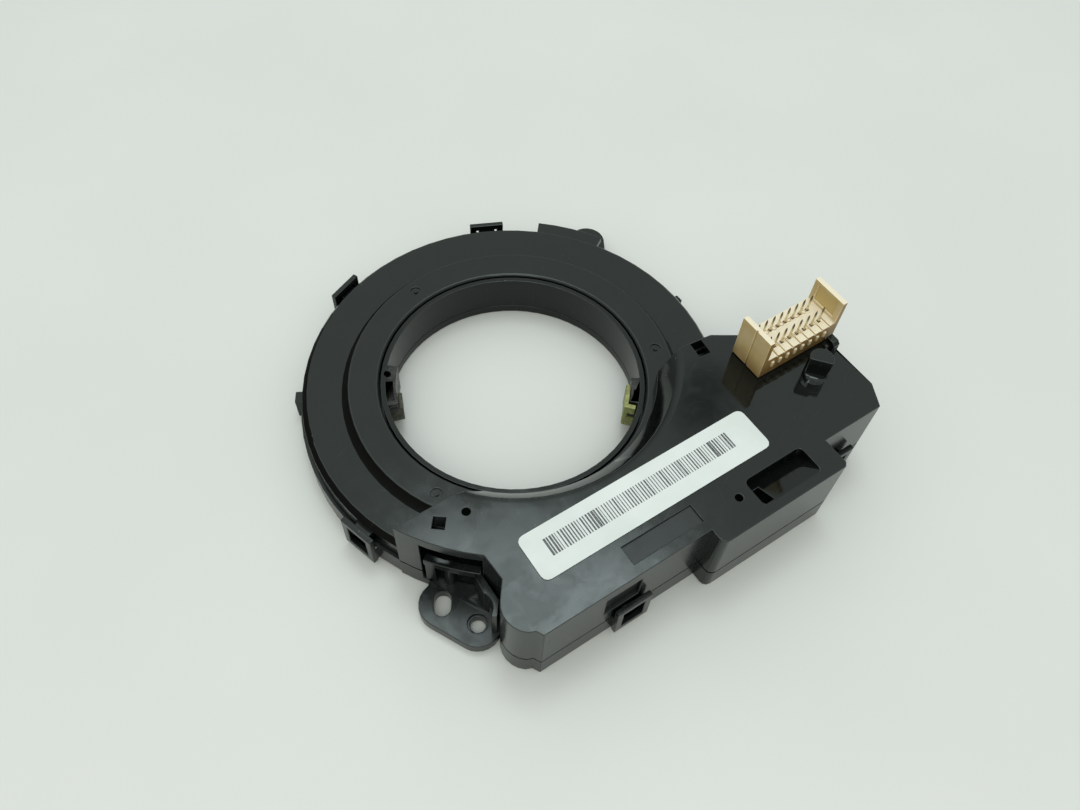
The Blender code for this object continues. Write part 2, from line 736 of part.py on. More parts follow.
join(upper_housing, peg, rib)


# Snap loops and hooks
def snap(name, angle, wall, upper_wall, at=(0.0, 0.0)):
    """A loop that stands on the lower cover's wall and the hook on the upper housing that it catches."""
    half_loop = LOOP_WIDTH / 2
    half_gap = half_loop - LOOP_LEG
    outer = wall + LOOP_STAND
    inner = outer - LOOP_THICKNESS
    loop = plate(
        f"{name}_loop",
        [
            rectangle(-half_loop, LOOP_FOOT, half_loop, LOOP_TOP),
            rectangle(-half_gap, LOOP_FOOT + LOOP_BAR, half_gap, loop_window_top),
        ],
        inner, outer, upright=("across", angle), at=at,
    )
    foot_top = SEAM_HEIGHT - 0.4
    foot = plate(
        f"{name}_foot",
        [[
            (-half_loop + 0.15, LOOP_FOOT + 0.15),
            (half_loop - 0.15, LOOP_FOOT + 0.15),
            (half_loop - 0.15, foot_top),
            (half_gap + 0.15, foot_top),
            (half_gap + 0.15, LOOP_FOOT + LOOP_BAR - 0.15),
            (-half_gap - 0.15, LOOP_FOOT + LOOP_BAR - 0.15),
            (-half_gap - 0.15, foot_top),
            (-half_loop + 0.15, foot_top),
        ]],
        wall - 0.5, inner + 0.3, upright=("across", angle), at=at,
    )
    hook_top = loop_window_top - FIT_GAP
    reach = wall + HOOK_REACH
    hook = plate(
        f"{name}_hook",
        [[
            (upper_wall - 0.5, hook_top - HOOK_RISE),
            (upper_wall + 0.3, hook_top - HOOK_RISE),
            (reach, hook_top - 0.6),
            (reach, hook_top),
            (upper_wall - 0.5, hook_top),
        ]],
        -HOOK_WIDTH / 2, HOOK_WIDTH / 2, upright=("along", angle), at=at,
    )
    return loop, foot, hook


snaps = [snap(f"ring_snap_{i}", angle, cover_radius, RING_RADIUS) for i, angle in enumerate(RING_LOOP_ANGLES)]
snaps.append(snap("front_snap", -90, -front_y, -front_y, (FRONT_LOOP_X, 0)))
snaps.append(snap("notch_snap", -90, -notch_y, -notch_y, (NOTCH_LOOP_X, 0)))
for loop, foot, hook in snaps:
    join(upper_housing, hook)
join(
    upper_housing,
    sector(
        "bridge", RING_RADIUS - 0.7, RING_RADIUS + BRIDGE_REACH, BRIDGE_START, BRIDGE_END,
        RING_HEIGHT - 0.9 - BRIDGE_THICKNESS, RING_HEIGHT - 0.9,
    ),
)
finish(upper_housing, black_plastic)

# Lower cover: dished ring and tray, with the collar and the track of the turning ring
lower_cover = turned(
    "lower_cover",
    [
        (cover_radius, SEAM_HEIGHT + 0.6),
        (cover_radius, EDGE_FILLET),
        (cover_radius - EDGE_FILLET, 0),
        (cover_radius - EDGE_FILLET, -0.4),
        (rotor_in + 0.1, -0.4),
        (rotor_in + 0.1, COLLAR_HEIGHT),
        (track_in, COLLAR_HEIGHT),
        (track_in, TRACK_HEIGHT),
        (track_in + TRACK_WIDTH, TRACK_HEIGHT),
        (track_in + TRACK_WIDTH, SEAM_HEIGHT + 0.6),
    ],
    group=parts,
)
tray = plate("tray", [box_outline], -0.8, SEAM_HEIGHT + 1)

# Ears
ear_run = Vector(ear_hole_middle) - Vector(ear_slot_middle)
tangent = math.degrees(math.atan2(ear_run.y, ear_run.x)) + 270
ear = plate(
    "ear",
    [
        [polar(side_radius - 0.6, -143.5)]
        + arc(EAR_RADIUS, 97, tangent, 16, ear_slot_middle)
        + arc(EAR_RADIUS, tangent, 297, 16, ear_hole_middle)
        + [(waist_x - 1.4, waist_low_y - 2.6), (waist_x + 0.7, waist_low_y), (waist_x + 0.7, waist_top_y)]
        + [polar(side_radius - 1.6, -136.0)]
    ],
    -1.2, EAR_THICKNESS,
)
slot_turn = math.degrees(math.atan2(-4.1, -2.7))
slot_half = EAR_SLOT_LENGTH / 2
ear_slot = plate(
    "ear_slot",
    [
        arc(EAR_SLOT_WIDTH / 2, slot_turn - 90, slot_turn + 90, 22.5, polar(slot_half, slot_turn, ear_slot_middle))
        + arc(EAR_SLOT_WIDTH / 2, slot_turn + 90, slot_turn + 270, 22.5, polar(-slot_half, slot_turn, ear_slot_middle))
    ],
    -1, EAR_THICKNESS + 1,
)
back_ear = plate(
    "back_ear",
    [
        [polar(cover_radius - 0.8, BACK_EAR_ANGLE - 10)]
        + arc(BACK_EAR_RADIUS, BACK_EAR_ANGLE - 62, BACK_EAR_ANGLE + 62, 16, back_hole)
        + [polar(cover_radius - 0.8, BACK_EAR_ANGLE + 12)]
    ],
    -1.2, EAR_THICKNESS,
)
join(lower_cover, tray, ear, back_ear)
cover_channel = turned(
    "cover_channel",
    [
        (cover_radius - WALL, SEAM_HEIGHT + 2),
        (cover_radius - WALL, FLOOR),
        (track_in + TRACK_WIDTH - 0.1, FLOOR),
        (track_in + TRACK_WIDTH - 0.1, SEAM_HEIGHT + 2),
    ],
)
tray_hollow = plate("tray_hollow", [box_inside], TRAY_FLOOR, SEAM_HEIGHT + 3)
cut(tray_hollow, alcove_keep)
alcove_floor = EAR_THICKNESS - 0.15
cut(
    lower_cover,
    block("below_cover", -90, -90, -5, 90, 90, 0),
    block("above_seam", -90, -90, SEAM_HEIGHT, 90, 90, SEAM_HEIGHT + 5),
    cover_channel,
    tray_hollow,
    sector("cover_alcove", alcove_radius, side_radius + 1.5, ALCOVE_START, ALCOVE_END, alcove_floor, SEAM_HEIGHT + 1),
    ear_slot,
    disc("ear_hole", EAR_HOLE_DIAMETER / 2, -1, EAR_THICKNESS + 1, ear_hole_middle),
    disc("ear_sink", EAR_SINK_DIAMETER / 2, EAR_THICKNESS - EAR_SINK_DEPTH, EAR_THICKNESS + 1, ear_hole_middle),
    disc("back_ear_hole", EAR_HOLE_DIAMETER / 2, -1, EAR_THICKNESS + 1, back_hole),
)

# Strap across the alcove, its leg, its rib and the curved wall that runs from it to the ear
strap_in = side_radius - STRAP_WIDTH
strap_start = ALCOVE_START + 0.5
strap_end = ALCOVE_END - 0.6
curved_wall = plate(
    "curved_wall",
    [
        [(waist_x - 0.4, waist_top_y + 1.3), polar(side_radius, strap_end - 1.4)]
        + arc(CURVED_WALL_RADIUS, CURVED_WALL_START, CURVED_WALL_END, 14.5, ear_hole_middle)
        + [(waist_x - 3.6, waist_low_y - 2.1), (waist_x - 2.6, waist_low_y - 2.8), (waist_x - 0.4, waist_low_y)]
    ],
    EAR_THICKNESS - 1, STRAP_TOP - 0.25,
)
join(
    lower_cover,
    sector(
        "strap_leg", strap_in - 0.3, side_radius - 0.15, strap_start + 0.2, strap_start + STRAP_LEG_ANGLE,
        1, STRAP_TOP - 0.5,
    ),
    sector("strap", strap_in, side_radius, strap_start, strap_end, STRAP_BOTTOM, STRAP_TOP),
    curved_wall,
    disc("strap_rib", 1.2, 1, STRAP_BOTTOM + 0.5, polar(strap_in + 0.2, -138.4), 12),
)

# Small stop and rib on the wall of the cover
join(
    lower_cover,
    plate("stop", [rectangle(-1.5, 0.4, 1.5, SEAM_HEIGHT)], cover_radius - 0.6, cover_radius + 1.5, upright=("across", 150)),
    plate("side_rib", [rectangle(-1.0, 0.4, 1.0, SEAM_HEIGHT)], cover_radius - 0.6, cover_radius + 2.5, upright=("across", 2)),
)
for loop, foot, hook in snaps:
    join(lower_cover, loop, foot)

# Spindles of the measuring gears
for name in ("a", "b"):
    join(
        lower_cover,
        turned(
            f"spindle_{name}",
            [
                (0, SPINDLE_HEIGHT),
                (SPINDLE_RADIUS, SPINDLE_HEIGHT),
                (SPINDLE_RADIUS, flange_bottom - 2 * FIT_GAP),
                (SHOULDER_RADIUS, flange_bottom - 2 * FIT_GAP),
                (SHOULDER_RADIUS, FLOOR / 2),
                (0, FLOOR / 2),
            ],
            12, at=gear_places[name],
        ),
    )
finish(lower_cover, cover_plastic)


# Toothed pieces
def tooth_outline(teeth, first):
    """Straight-flanked teeth, slightly thinner than the gaps, with one tooth's middle at the angle first."""
    radius = module * teeth / 2
    pitch = math.pi * module
    half_tooth = (pitch - TOOTH_BACKLASH) / 4
    lean = math.tan(math.radians(20))
    tip, root = TIP_SHARE * module, ROOT_SHARE * module
    points = []
    for i in range(teeth):
        middle = first + 360 * i / teeth
        for height, side in ((-root, -1), (tip, -1), (tip, 1), (-root, 1)):
            half_here = half_tooth - height * lean
            away = math.degrees(half_here / radius)
            points.append(polar(radius + height, middle + side * away))
    return points


rotor_ring = turned(
    "rotor_ring",
    [(rotor_out, rotor_top), (rotor_out, rotor_bottom), (rotor_in, rotor_bottom), (rotor_in, rotor_top)],
    group=parts,
)
flange_hole = arc(rotor_out - 0.5, 0, 360 - 360 / ROUND_STEPS, 360 / ROUND_STEPS)
join(
    rotor_ring,
    plate("flange", [tooth_outline(ROTOR_TEETH, 0.0), flange_hole], flange_bottom, flange_top),
)


def lug(name, start, end, reach):
    """A drive lug on the inside of the turning ring."""
    inner = rotor_out - reach
    return sector(name, inner, rotor_out - 0.4, start, end, lug_top - LUG_HEIGHT, lug_top, 5.0), inner


lug_top = rotor_top - 0.3
lug_foot = lug_top - LUG_HEIGHT
lug_left, lug_left_in = lug("lug_left", LUG_LEFT_START, LUG_LEFT_END, LUG_LEFT_REACH)
lug_right, lug_right_in = lug("lug_right", LUG_RIGHT_START, LUG_RIGHT_END, LUG_RIGHT_REACH)
shelf_start = LUG_LEFT_END - LUG_SHELF_AWAY
shelf_bottom = lug_top - LUG_SHELF
cut(
    lug_left,
    sector(
        "lug_left_shelf", lug_left_in - 1, rotor_in + 0.2, shelf_start, LUG_LEFT_END + 1,
        lug_foot - 1, shelf_bottom,
    ),
)
tongue_top = lug_top - LUG_TONGUE_DROP
lug_tongue = sector(
    "lug_tongue", lug_right_in + 0.2, rotor_in + 0.3, LUG_RIGHT_START - LUG_TONGUE_LENGTH, LUG_RIGHT_START + 1,
    tongue_top - LUG_TONGUE_HEIGHT, tongue_top,
)
join(rotor_ring, lug_left, lug_right, lug_tongue)
cut(
    rotor_ring,
    disc(
        "lug_left_bore", LUG_LEFT_BORE_RADIUS, lug_top - 6, lug_top + 1,
        polar(lug_left_in + LUG_LEFT_BORE_INSET, LUG_LEFT_START + LUG_LEFT_BORE_AWAY), 10,
    ),
    sector(
        "lug_left_pocket", lug_left_in + LUG_WALL, rotor_in - 0.1, LUG_LEFT_START + LUG_LEFT_POCKET_AWAY,
        LUG_LEFT_START + LUG_LEFT_POCKET_AWAY + LUG_LEFT_POCKET_LENGTH, lug_top - 2.2, lug_top + 1,
    ),
    sector(
        "lug_right_pocket", lug_right_in + LUG_WALL, rotor_in - 0.1, LUG_RIGHT_START + LUG_RIGHT_POCKET_AWAY,
        LUG_RIGHT_START + LUG_RIGHT_POCKET_AWAY + LUG_RIGHT_POCKET_LENGTH, lug_top - 5, lug_top + 1,
    ),
)
finish(rotor_ring, rotor_plastic)


def pad(name, start, end, inner, top, end_start, end_end, end_top):
    """A strip along the inner face of a lug with a block that wraps its end."""
    face = inner - FIT_GAP / 2
    made = sector(name, face - PAD_THICKNESS, face, start, end, lug_foot + PAD_FOOT, top, 3.5, parts, rotor_ring)
    join(
        made,
        sector(
            f"{name}_end", face - PAD_THICKNESS + 0.1, rotor_in - FIT_GAP, end_start, end_end,
            lug_foot + PAD_FOOT + 0.2, end_top, 3.5, parent=rotor_ring,
        ),
    )
    return made


pad_left = pad(
    "drive_pad_left", LUG_LEFT_START + PAD_LEFT_AWAY, LUG_LEFT_END - PAD_LEFT_SHORT, lug_left_in, shelf_bottom - FIT_GAP,
    shelf_start + 2 * FIT_GAP, LUG_LEFT_END - 1.2, shelf_bottom - 2 * FIT_GAP,
)
pad_right = pad(
    "drive_pad_right", LUG_RIGHT_START - PAD_END_LENGTH, LUG_RIGHT_END - PAD_RIGHT_SHORT, lug_right_in, lug_top - PAD_TOP_DROP,
    LUG_RIGHT_START - PAD_END_LENGTH - 0.6, LUG_RIGHT_START - 2 * FIT_GAP, lug_top - PAD_TOP_DROP + 0.2,
)
cut(
    pad_right,
    sector(
        "tongue_gap", lug_right_in + 0.2 - FIT_GAP, rotor_in + 1, LUG_RIGHT_START - 3 * PAD_END_LENGTH, LUG_RIGHT_START + 1,
        tongue_top - LUG_TONGUE_HEIGHT - FIT_GAP, tongue_top + FIT_GAP, parent=rotor_ring,
    ),
)
for made in (pad_left, pad_right):
    finish(made, pad_rubber)

hub_top = board_bottom - FIT_GAP - SENSOR_CHIP_SIZE[2] - 2 * FIT_GAP
magnet_top = hub_top - 0.1
magnet_bottom = magnet_top - MAGNET_THICKNESS
for name, teeth, angle in (("a", GEAR_A_TEETH, GEAR_A_ANGLE), ("b", GEAR_B_TEETH, GEAR_B_ANGLE)):
    # The gear's tooth stands in the middle of the gap between two teeth of the turning ring
    along = math.radians((angle * ROTOR_TEETH / 360 + 0.5) % 1 * 360 / ROTOR_TEETH - 180 / ROTOR_TEETH) * pitch_radius
    gap_offset = -along + math.pi * module / 2
    first = angle + 180 - math.degrees(gap_offset / (module * teeth / 2))
    gear = plate(
        f"measuring_gear_{name}", [tooth_outline(teeth, first)],
        flange_bottom - FIT_GAP, flange_bottom - FIT_GAP + GEAR_THICKNESS, parts,
    )
    for vertex in gear.data.vertices:
        vertex.co.z += gear.location.z
    gear.location = (gear_places[name][0] * MM, gear_places[name][1] * MM, 0)
    seat = magnet_bottom - 0.1
    join(gear, disc(f"hub_{name}", HUB_RADIUS, flange_bottom + 1, hub_top, (0, 0), 16, parent=gear))
    cut(
        gear,
        disc(f"spindle_bore_{name}", SPINDLE_RADIUS + FIT_GAP, 0, SPINDLE_HEIGHT + FIT_GAP, (0, 0), 12, parent=gear),
        disc(f"magnet_seat_{name}", MAGNET_RADIUS + 0.15, seat, hub_top + 1, (0, 0), 16, parent=gear),
    )
    finish(gear, gear_plastic)
    magnet = disc(f"magnet_{name}", MAGNET_RADIUS, magnet_bottom, magnet_top, (0, 0), 16, parts, gear)
    finish(magnet, magnet_grey)
    half_x, half_y, chip_height = (SENSOR_CHIP_SIZE[0] / 2, SENSOR_CHIP_SIZE[1] / 2, SENSOR_CHIP_SIZE[2])
    place = gear_places[name]
    chip = block(
        f"sensor_chip_{name}", place[0] - half_x, place[1] - half_y, board_bottom - FIT_GAP - chip_height,
        place[0] + half_x, place[1] + half_y, board_bottom - FIT_GAP, parts,
    )
    finish(chip, chip_black)

# Circuit board, following the inside of the box and clear of the slope, the alcove and the pocket
circuit_board = plate(
    "circuit_board", [moved_in(box_outline, WALL + BOARD_EDGE_GAP)], board_bottom, board_top, parts
)
cut(
    circuit_board,
    turned(
        "board_slope_gap",
        [(0, board_top + 1), (rim_radius + BOARD_EDGE_GAP, board_top + 1), (rim_radius + BOARD_EDGE_GAP, board_bottom - 1), (0, board_bottom - 1)],
    ),
    sector(
        "board_alcove_gap", alcove_radius - WALL - BOARD_EDGE_GAP, side_radius + 3,
        ALCOVE_START - BOARD_ALCOVE_BEFORE, ALCOVE_END + BOARD_ALCOVE_AFTER, board_bottom - 1, board_top + 1,
    ),
    block(
        "board_pocket_gap", POCKET_LEFT - WALL - BOARD_EDGE_GAP, bump_front - 3, board_bottom - 1,
        POCKET_RIGHT + WALL + BOARD_EDGE_GAP, pocket_back + WALL + BOARD_EDGE_GAP, board_top + 1,
    ),
)
for i, place in enumerate(screws):
    cut(circuit_board, disc(f"board_hole_{i}", SCREW_SHAFT_RADIUS + FIT_GAP, board_bottom - 1, board_top + 1, place, 12))
finish(circuit_board, board_green)

for i, place in enumerate(screws):
    head_top = board_bottom - FIT_GAP
    screw = turned(
        f"board_screw_{'abc'[i]}",
        [
            (0, BOX_HEIGHT - 1.0),
            (SCREW_SHAFT_RADIUS, BOX_HEIGHT - 1.6),
            (SCREW_SHAFT_RADIUS, head_top),
            (SCREW_HEAD_RADIUS, head_top),
            (SCREW_HEAD_RADIUS, head_top - 0.6 * SCREW_HEAD_HEIGHT),
            (0.6 * SCREW_HEAD_RADIUS, head_top - SCREW_HEAD_HEIGHT),
            (0, head_top - SCREW_HEAD_HEIGHT),
        ],
        12, parts, at=place,
    )
    finish(screw, screw_steel)

# Packages under the board: name, middle in front of the box's front wall, size and look
for name, x, step, size, look in (
    ("microcontroller", 30.5, 13.5, (9.0, 9.0, 1.4), chip_black),
    ("bus_transceiver", 49.5, 13.0, (5.0, 4.0, 1.3), chip_black),
    ("voltage_regulator", 56.0, 11.5, (4.6, 5.6, 1.6), chip_black),
    ("resonator", 31.0, 23.0, (7.0, 3.2, 1.3), metal_can),
    ("filter_capacitor_a", 0.0, 12.0, (3.2, 2.5, 1.5), chip_brown),
    ("filter_capacitor_b", 1.0, 6.5, (3.2, 2.5, 1.5), chip_brown),
):
    middle = (x, front_y + step)
    package = block(
        name, middle[0] - size[0] / 2, middle[1] - size[1] / 2, board_bottom - FIT_GAP - size[2],
        middle[0] + size[0] / 2, middle[1] + size[1] / 2, board_bottom - FIT_GAP, parts,
    )
    finish(package, look)

# Pin header: trough with two tall end walls, and the plug that goes through the roof
header_bottom = BOX_HEIGHT + FIT_GAP
connector_header = plate(
    "connector_header",
    [[
        (HEADER_LEFT, header_bottom),
        (HEADER_RIGHT, header_bottom),
        (HEADER_RIGHT, header_top),
        (HEADER_RIGHT - HEADER_WALL, header_top),
        (HEADER_RIGHT - HEADER_WALL, header_floor),
        (HEADER_LEFT + HEADER_WALL, header_floor),
        (HEADER_LEFT + HEADER_WALL, header_top),
        (HEADER_LEFT, header_top),
    ]],
    -HEADER_BACK_Y, -HEADER_FRONT_Y, parts, upright=("across", -90),
)
join(
    connector_header,
    block(
        "header_plug", HEADER_PLUG_LEFT, HEADER_FRONT_Y + HEADER_PLUG_EDGE, board_top + FIT_GAP,
        HEADER_PLUG_RIGHT, HEADER_BACK_Y - HEADER_PLUG_EDGE, header_bottom + 1,
    ),
)
for i in range(PIN_COUNT):
    join(
        connector_header,
        disc(
            f"header_nub_{i}", HEADER_NUB_RADIUS, BOX_HEIGHT + HEADER_NUB_BOTTOM_RISE, BOX_HEIGHT + HEADER_NUB_TOP_RISE,
            (PIN_START_X + i * PIN_PITCH, HEADER_FRONT_Y), 8,
        ),
    )
hole = PIN_SIZE / 2 + PIN_HOLE_GAP
header_middle_y = (HEADER_FRONT_Y + HEADER_BACK_Y) / 2
for i in range(PIN_COUNT):
    x = PIN_START_X + i * PIN_PITCH
    for row, y in (("front", PIN_FRONT_Y), ("back", PIN_BACK_Y)):
        cut(connector_header, block(f"pin_hole_{row}_{i}", x - hole, y - hole, board_top - 1, x + hole, y + hole, header_floor + 1))
    groove_x = x + PIN_PITCH / 2
    if groove_x < HEADER_RIGHT - HEADER_WALL - 1:
        cut(
            connector_header,
            block(
                f"groove_{i}", groove_x - GROOVE_WIDTH / 2, HEADER_FRONT_Y - 1, header_floor - GROOVE_DEPTH,
                groove_x + GROOVE_WIDTH / 2, PIN_FRONT_Y + 0.9, header_floor + 1,
            ),
        )
cut(
    connector_header,
    block(
        "near_wall_groove", HEADER_LEFT - 1, header_middle_y - 0.25, header_bottom - 1,
        HEADER_LEFT + 0.25, header_middle_y + 0.25, header_top + 1,
    ),
    block(
        "far_wall_panel", HEADER_RIGHT - HEADER_WALL - 1, HEADER_FRONT_Y + HEADER_PANEL_EDGE,
        header_floor + HEADER_PANEL_FRAME, HEADER_RIGHT - HEADER_WALL + 0.3, HEADER_BACK_Y - HEADER_PANEL_EDGE,
        header_top - HEADER_PANEL_FRAME,
    ),
)
finish(connector_header, ivory_plastic)

# Pins, all of one mesh: a square bar with a tapered tip
pin_length = pin_top - board_top - FIT_GAP
shape = bmesh.new()
bmesh.ops.create_cube(shape, size=1.0)
bmesh.ops.scale(shape, verts=shape.verts, vec=Vector((PIN_SIZE, PIN_SIZE, pin_length - PIN_TIP)) * MM)
bmesh.ops.translate(shape, verts=shape.verts, vec=Vector((0, 0, (pin_length - PIN_TIP) / 2)) * MM)
top_face = max(shape.faces, key=lambda face: face.calc_center_median().z)
tip = bmesh.ops.extrude_discrete_faces(shape, faces=[top_face])["faces"][0]
bmesh.ops.translate(shape, verts=tip.verts, vec=Vector((0, 0, PIN_TIP)) * MM)
for vertex in tip.verts:
    vertex.co.x *= 0.4
    vertex.co.y *= 0.4
pin_mesh = bpy.data.meshes.new("pin")
shape.to_mesh(pin_mesh)
shape.free()
for row, y in (("a", PIN_FRONT_Y), ("b", PIN_BACK_Y)):
    for i in range(PIN_COUNT):
        pin = bpy.data.objects.new(f"pin_{row}{i + 1}", pin_mesh)
        pin.location = Vector((PIN_START_X + i * PIN_PITCH, y, board_top + FIT_GAP)) * MM
        put(pin, parts, sensor_frame)
pin_mesh.materials.append(pin_metal)

# Label
label = plate(
    "label",
    [rectangle(LABEL_LEFT, front_y + LABEL_STEP, LABEL_RIGHT, front_y + LABEL_STEP + LABEL_WIDTH, LABEL_ROUND)],
    BOX_HEIGHT + LABEL_GLUE, BOX_HEIGHT + LABEL_GLUE + LABEL_THICKNESS, parts,
)
finish(label, label_paper)

# The whole sensor stands with the middle of its base at the origin
bpy.context.view_layer.update()
graph = bpy.context.evaluated_depsgraph_get()
low = Vector((math.inf,) * 3)
high = Vector((-math.inf,) * 3)
for obj in parts.objects:
    if obj.type == "MESH":
        evaluated = obj.evaluated_get(graph)
        for corner in evaluated.bound_box:
            point = obj.matrix_world @ Vector(corner)
            low = Vector(map(min, low, point))
            high = Vector(map(max, high, point))
sensor_frame.location = (-(low.x + high.x) / 2, -(low.y + high.y) / 2, -low.z)
bpy.context.view_layer.update()
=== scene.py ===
import json
import math

import bmesh
import bpy
from mathutils import Matrix, Vector


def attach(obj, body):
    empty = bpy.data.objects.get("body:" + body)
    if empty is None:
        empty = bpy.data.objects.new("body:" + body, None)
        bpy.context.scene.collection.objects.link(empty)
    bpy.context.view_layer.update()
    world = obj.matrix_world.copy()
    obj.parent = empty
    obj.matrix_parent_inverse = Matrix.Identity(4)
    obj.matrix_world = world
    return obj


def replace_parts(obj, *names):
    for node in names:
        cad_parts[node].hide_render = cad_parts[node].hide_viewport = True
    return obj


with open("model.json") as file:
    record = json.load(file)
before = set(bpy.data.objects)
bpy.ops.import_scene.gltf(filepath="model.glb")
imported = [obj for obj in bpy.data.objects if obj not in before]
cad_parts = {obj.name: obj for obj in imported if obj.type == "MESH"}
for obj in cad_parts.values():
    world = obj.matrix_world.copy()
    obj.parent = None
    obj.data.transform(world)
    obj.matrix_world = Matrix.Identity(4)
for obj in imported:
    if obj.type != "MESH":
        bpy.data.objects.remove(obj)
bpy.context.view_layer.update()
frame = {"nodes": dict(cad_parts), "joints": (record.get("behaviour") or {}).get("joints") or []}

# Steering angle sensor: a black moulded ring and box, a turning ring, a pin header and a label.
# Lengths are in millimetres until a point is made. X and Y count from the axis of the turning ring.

MM = 0.001
axis = Vector(next(j for j in frame["joints"] if j["name"] == "rotor_spin")["pos_m"])
AXIS_X, AXIS_Y = axis.x / MM, axis.y / MM

# The seam between the two shells: the heights it lies between, its upper lip, and how far that lip is lifted
SEAM = (6.0, 6.7)
SEAM_TOP = 6.4
SEAM_OPENS = 0.2

# Corners of the ring's step and rim: reach from the axis, height, and how far each is drawn out where it
# faces the side painted dark with dirt and shade
RING_STEPS = ((38.9, 10.6, 0.7), (47.65, 10.55, -0.8))
DIRTY_SHADED_SIDE = Vector((-0.8, -0.6))

# Where the faces of the step and the rim lie: the reach they lie between, then the height
STEP_BAND = (37.5, 40.3, 10.4, 12.25)
RIM_BAND = (46.5, 48.3, 9.9, 10.7)

# The box's slot beside the shoulder, the foot of its peg's flat, and its two recesses: the left and right
# they lie between, then how far back the long one goes and its floor, or the place of the latch's back
SHOULDER_SLOT = Vector((35.9, -21.3))
SLOT_REACH = 2.7
PEG_FLAT_FOOT = (23.1, 23.3)
LONG_RECESS = (-8.4, 9.8, -50.0, 21.1)
LATCH_RECESS = (-16.0, -6.6, -56.7)

# The turning ring's wall, with the lugs inside it
RING_WALL_IN = 29.0

# The header: the groove in its near wall, its front, the panel in its far wall, its floor and its pins
HEADER_GROOVE = (41.5, 41.65)
HEADER_FRONT = -34.6
HEADER_PANEL = 62.65
HEADER_FLOOR = 27.3
FIRST_PIN_X = 44.25
PIN_PITCH = 2.2
PINS_IN_ROW = 8
PIN_ROWS = (-32.1, -28.3)
PIN_DRAWN_IN = 0.55


def point(x, y, z):
    """A place in millimetres from the ring's axis, as the frame's metres."""
    return Vector((x + AXIS_X, y + AXIS_Y, z)) * MM


def near(value, target, slack):
    """Whether a length is the wanted one, give or take the slack."""
    return abs(value - target) < slack


# Colour and node helpers
def linear(code):
    """An sRGB hex colour as the linear values that a shader takes."""
    values = [int(code[i:i + 2], 16) / 255 for i in (1, 3, 5)]
    return (*[v / 12.92 if v <= 0.04045 else ((v + 0.055) / 1.055) ** 2.4 for v in values], 1.0)


def per(size):
    """The scale that gives a pattern features of this many millimetres."""
    return 1000.0 / size


def add(tree, kind, inputs=(), output=0, **fields):
    """Adds a node with its fields, fills its inputs with values or links, and gives one of its outputs."""
    node = tree.nodes.new("ShaderNode" + kind)
    for field, value in fields.items():
        setattr(node, field, value)
    for socket, value in inputs.items() if isinstance(inputs, dict) else enumerate(inputs):
        if isinstance(value, bpy.types.NodeSocket):
            tree.links.new(value, node.inputs[socket])
        else:
            node.inputs[socket].default_value = value
    return node.outputs[output] if node.outputs else None


def finish(name, build):
    """A material whose Principled shader takes the sockets and values that build gives."""
    made = bpy.data.materials.new(name)
    made.use_nodes = True
    tree = made.node_tree
    tree.nodes.clear()
    place = add(tree, "TexCoord", output="Object")
    surface = add(tree, "BsdfPrincipled", build(tree, place))
    add(tree, "OutputMaterial", {"Surface": surface})
    return made


# Polyester moulded in a polished tool: near black with a crisp gloss. The eye sees the pale room and the
# header mirrored in it, dulled to a cloudy grey film where the near corner takes the grip. That grey film is
# also a painted highlight there, lighter on faces that look up. A few hairlines and specks of dust lie on it.
# Upright walls leave the tool drier, and mirror the floor softly. The tool's own texture is finer than a
# pixel and is drawn at a quarter of a millimetre so that it shows.
# Each set of hairlines has its direction in degrees, its length and width, and how much noise makes a line.
# The film and its painted highlight are full up to the first reach from the corner that takes the grip, and
# all but gone past the second.
HAIRLINES = ((24.0, 9.0, 0.14, 0.725), (-38.0, 6.0, 0.12, 0.74), (76.0, 12.0, 0.15, 0.745))
GRIPPED_HIGHLIT_CORNER = (-34.0, -54.0, 18.0)
GRIP_HIGHLIGHT_REACH = (14.0, 52.0)
WALL_DULL = 0.12
WALL_SHEEN_LOST = -0.14
HAIRLINE_GREY = "#5c605f"
DUST_GREY = "#8d8f88"


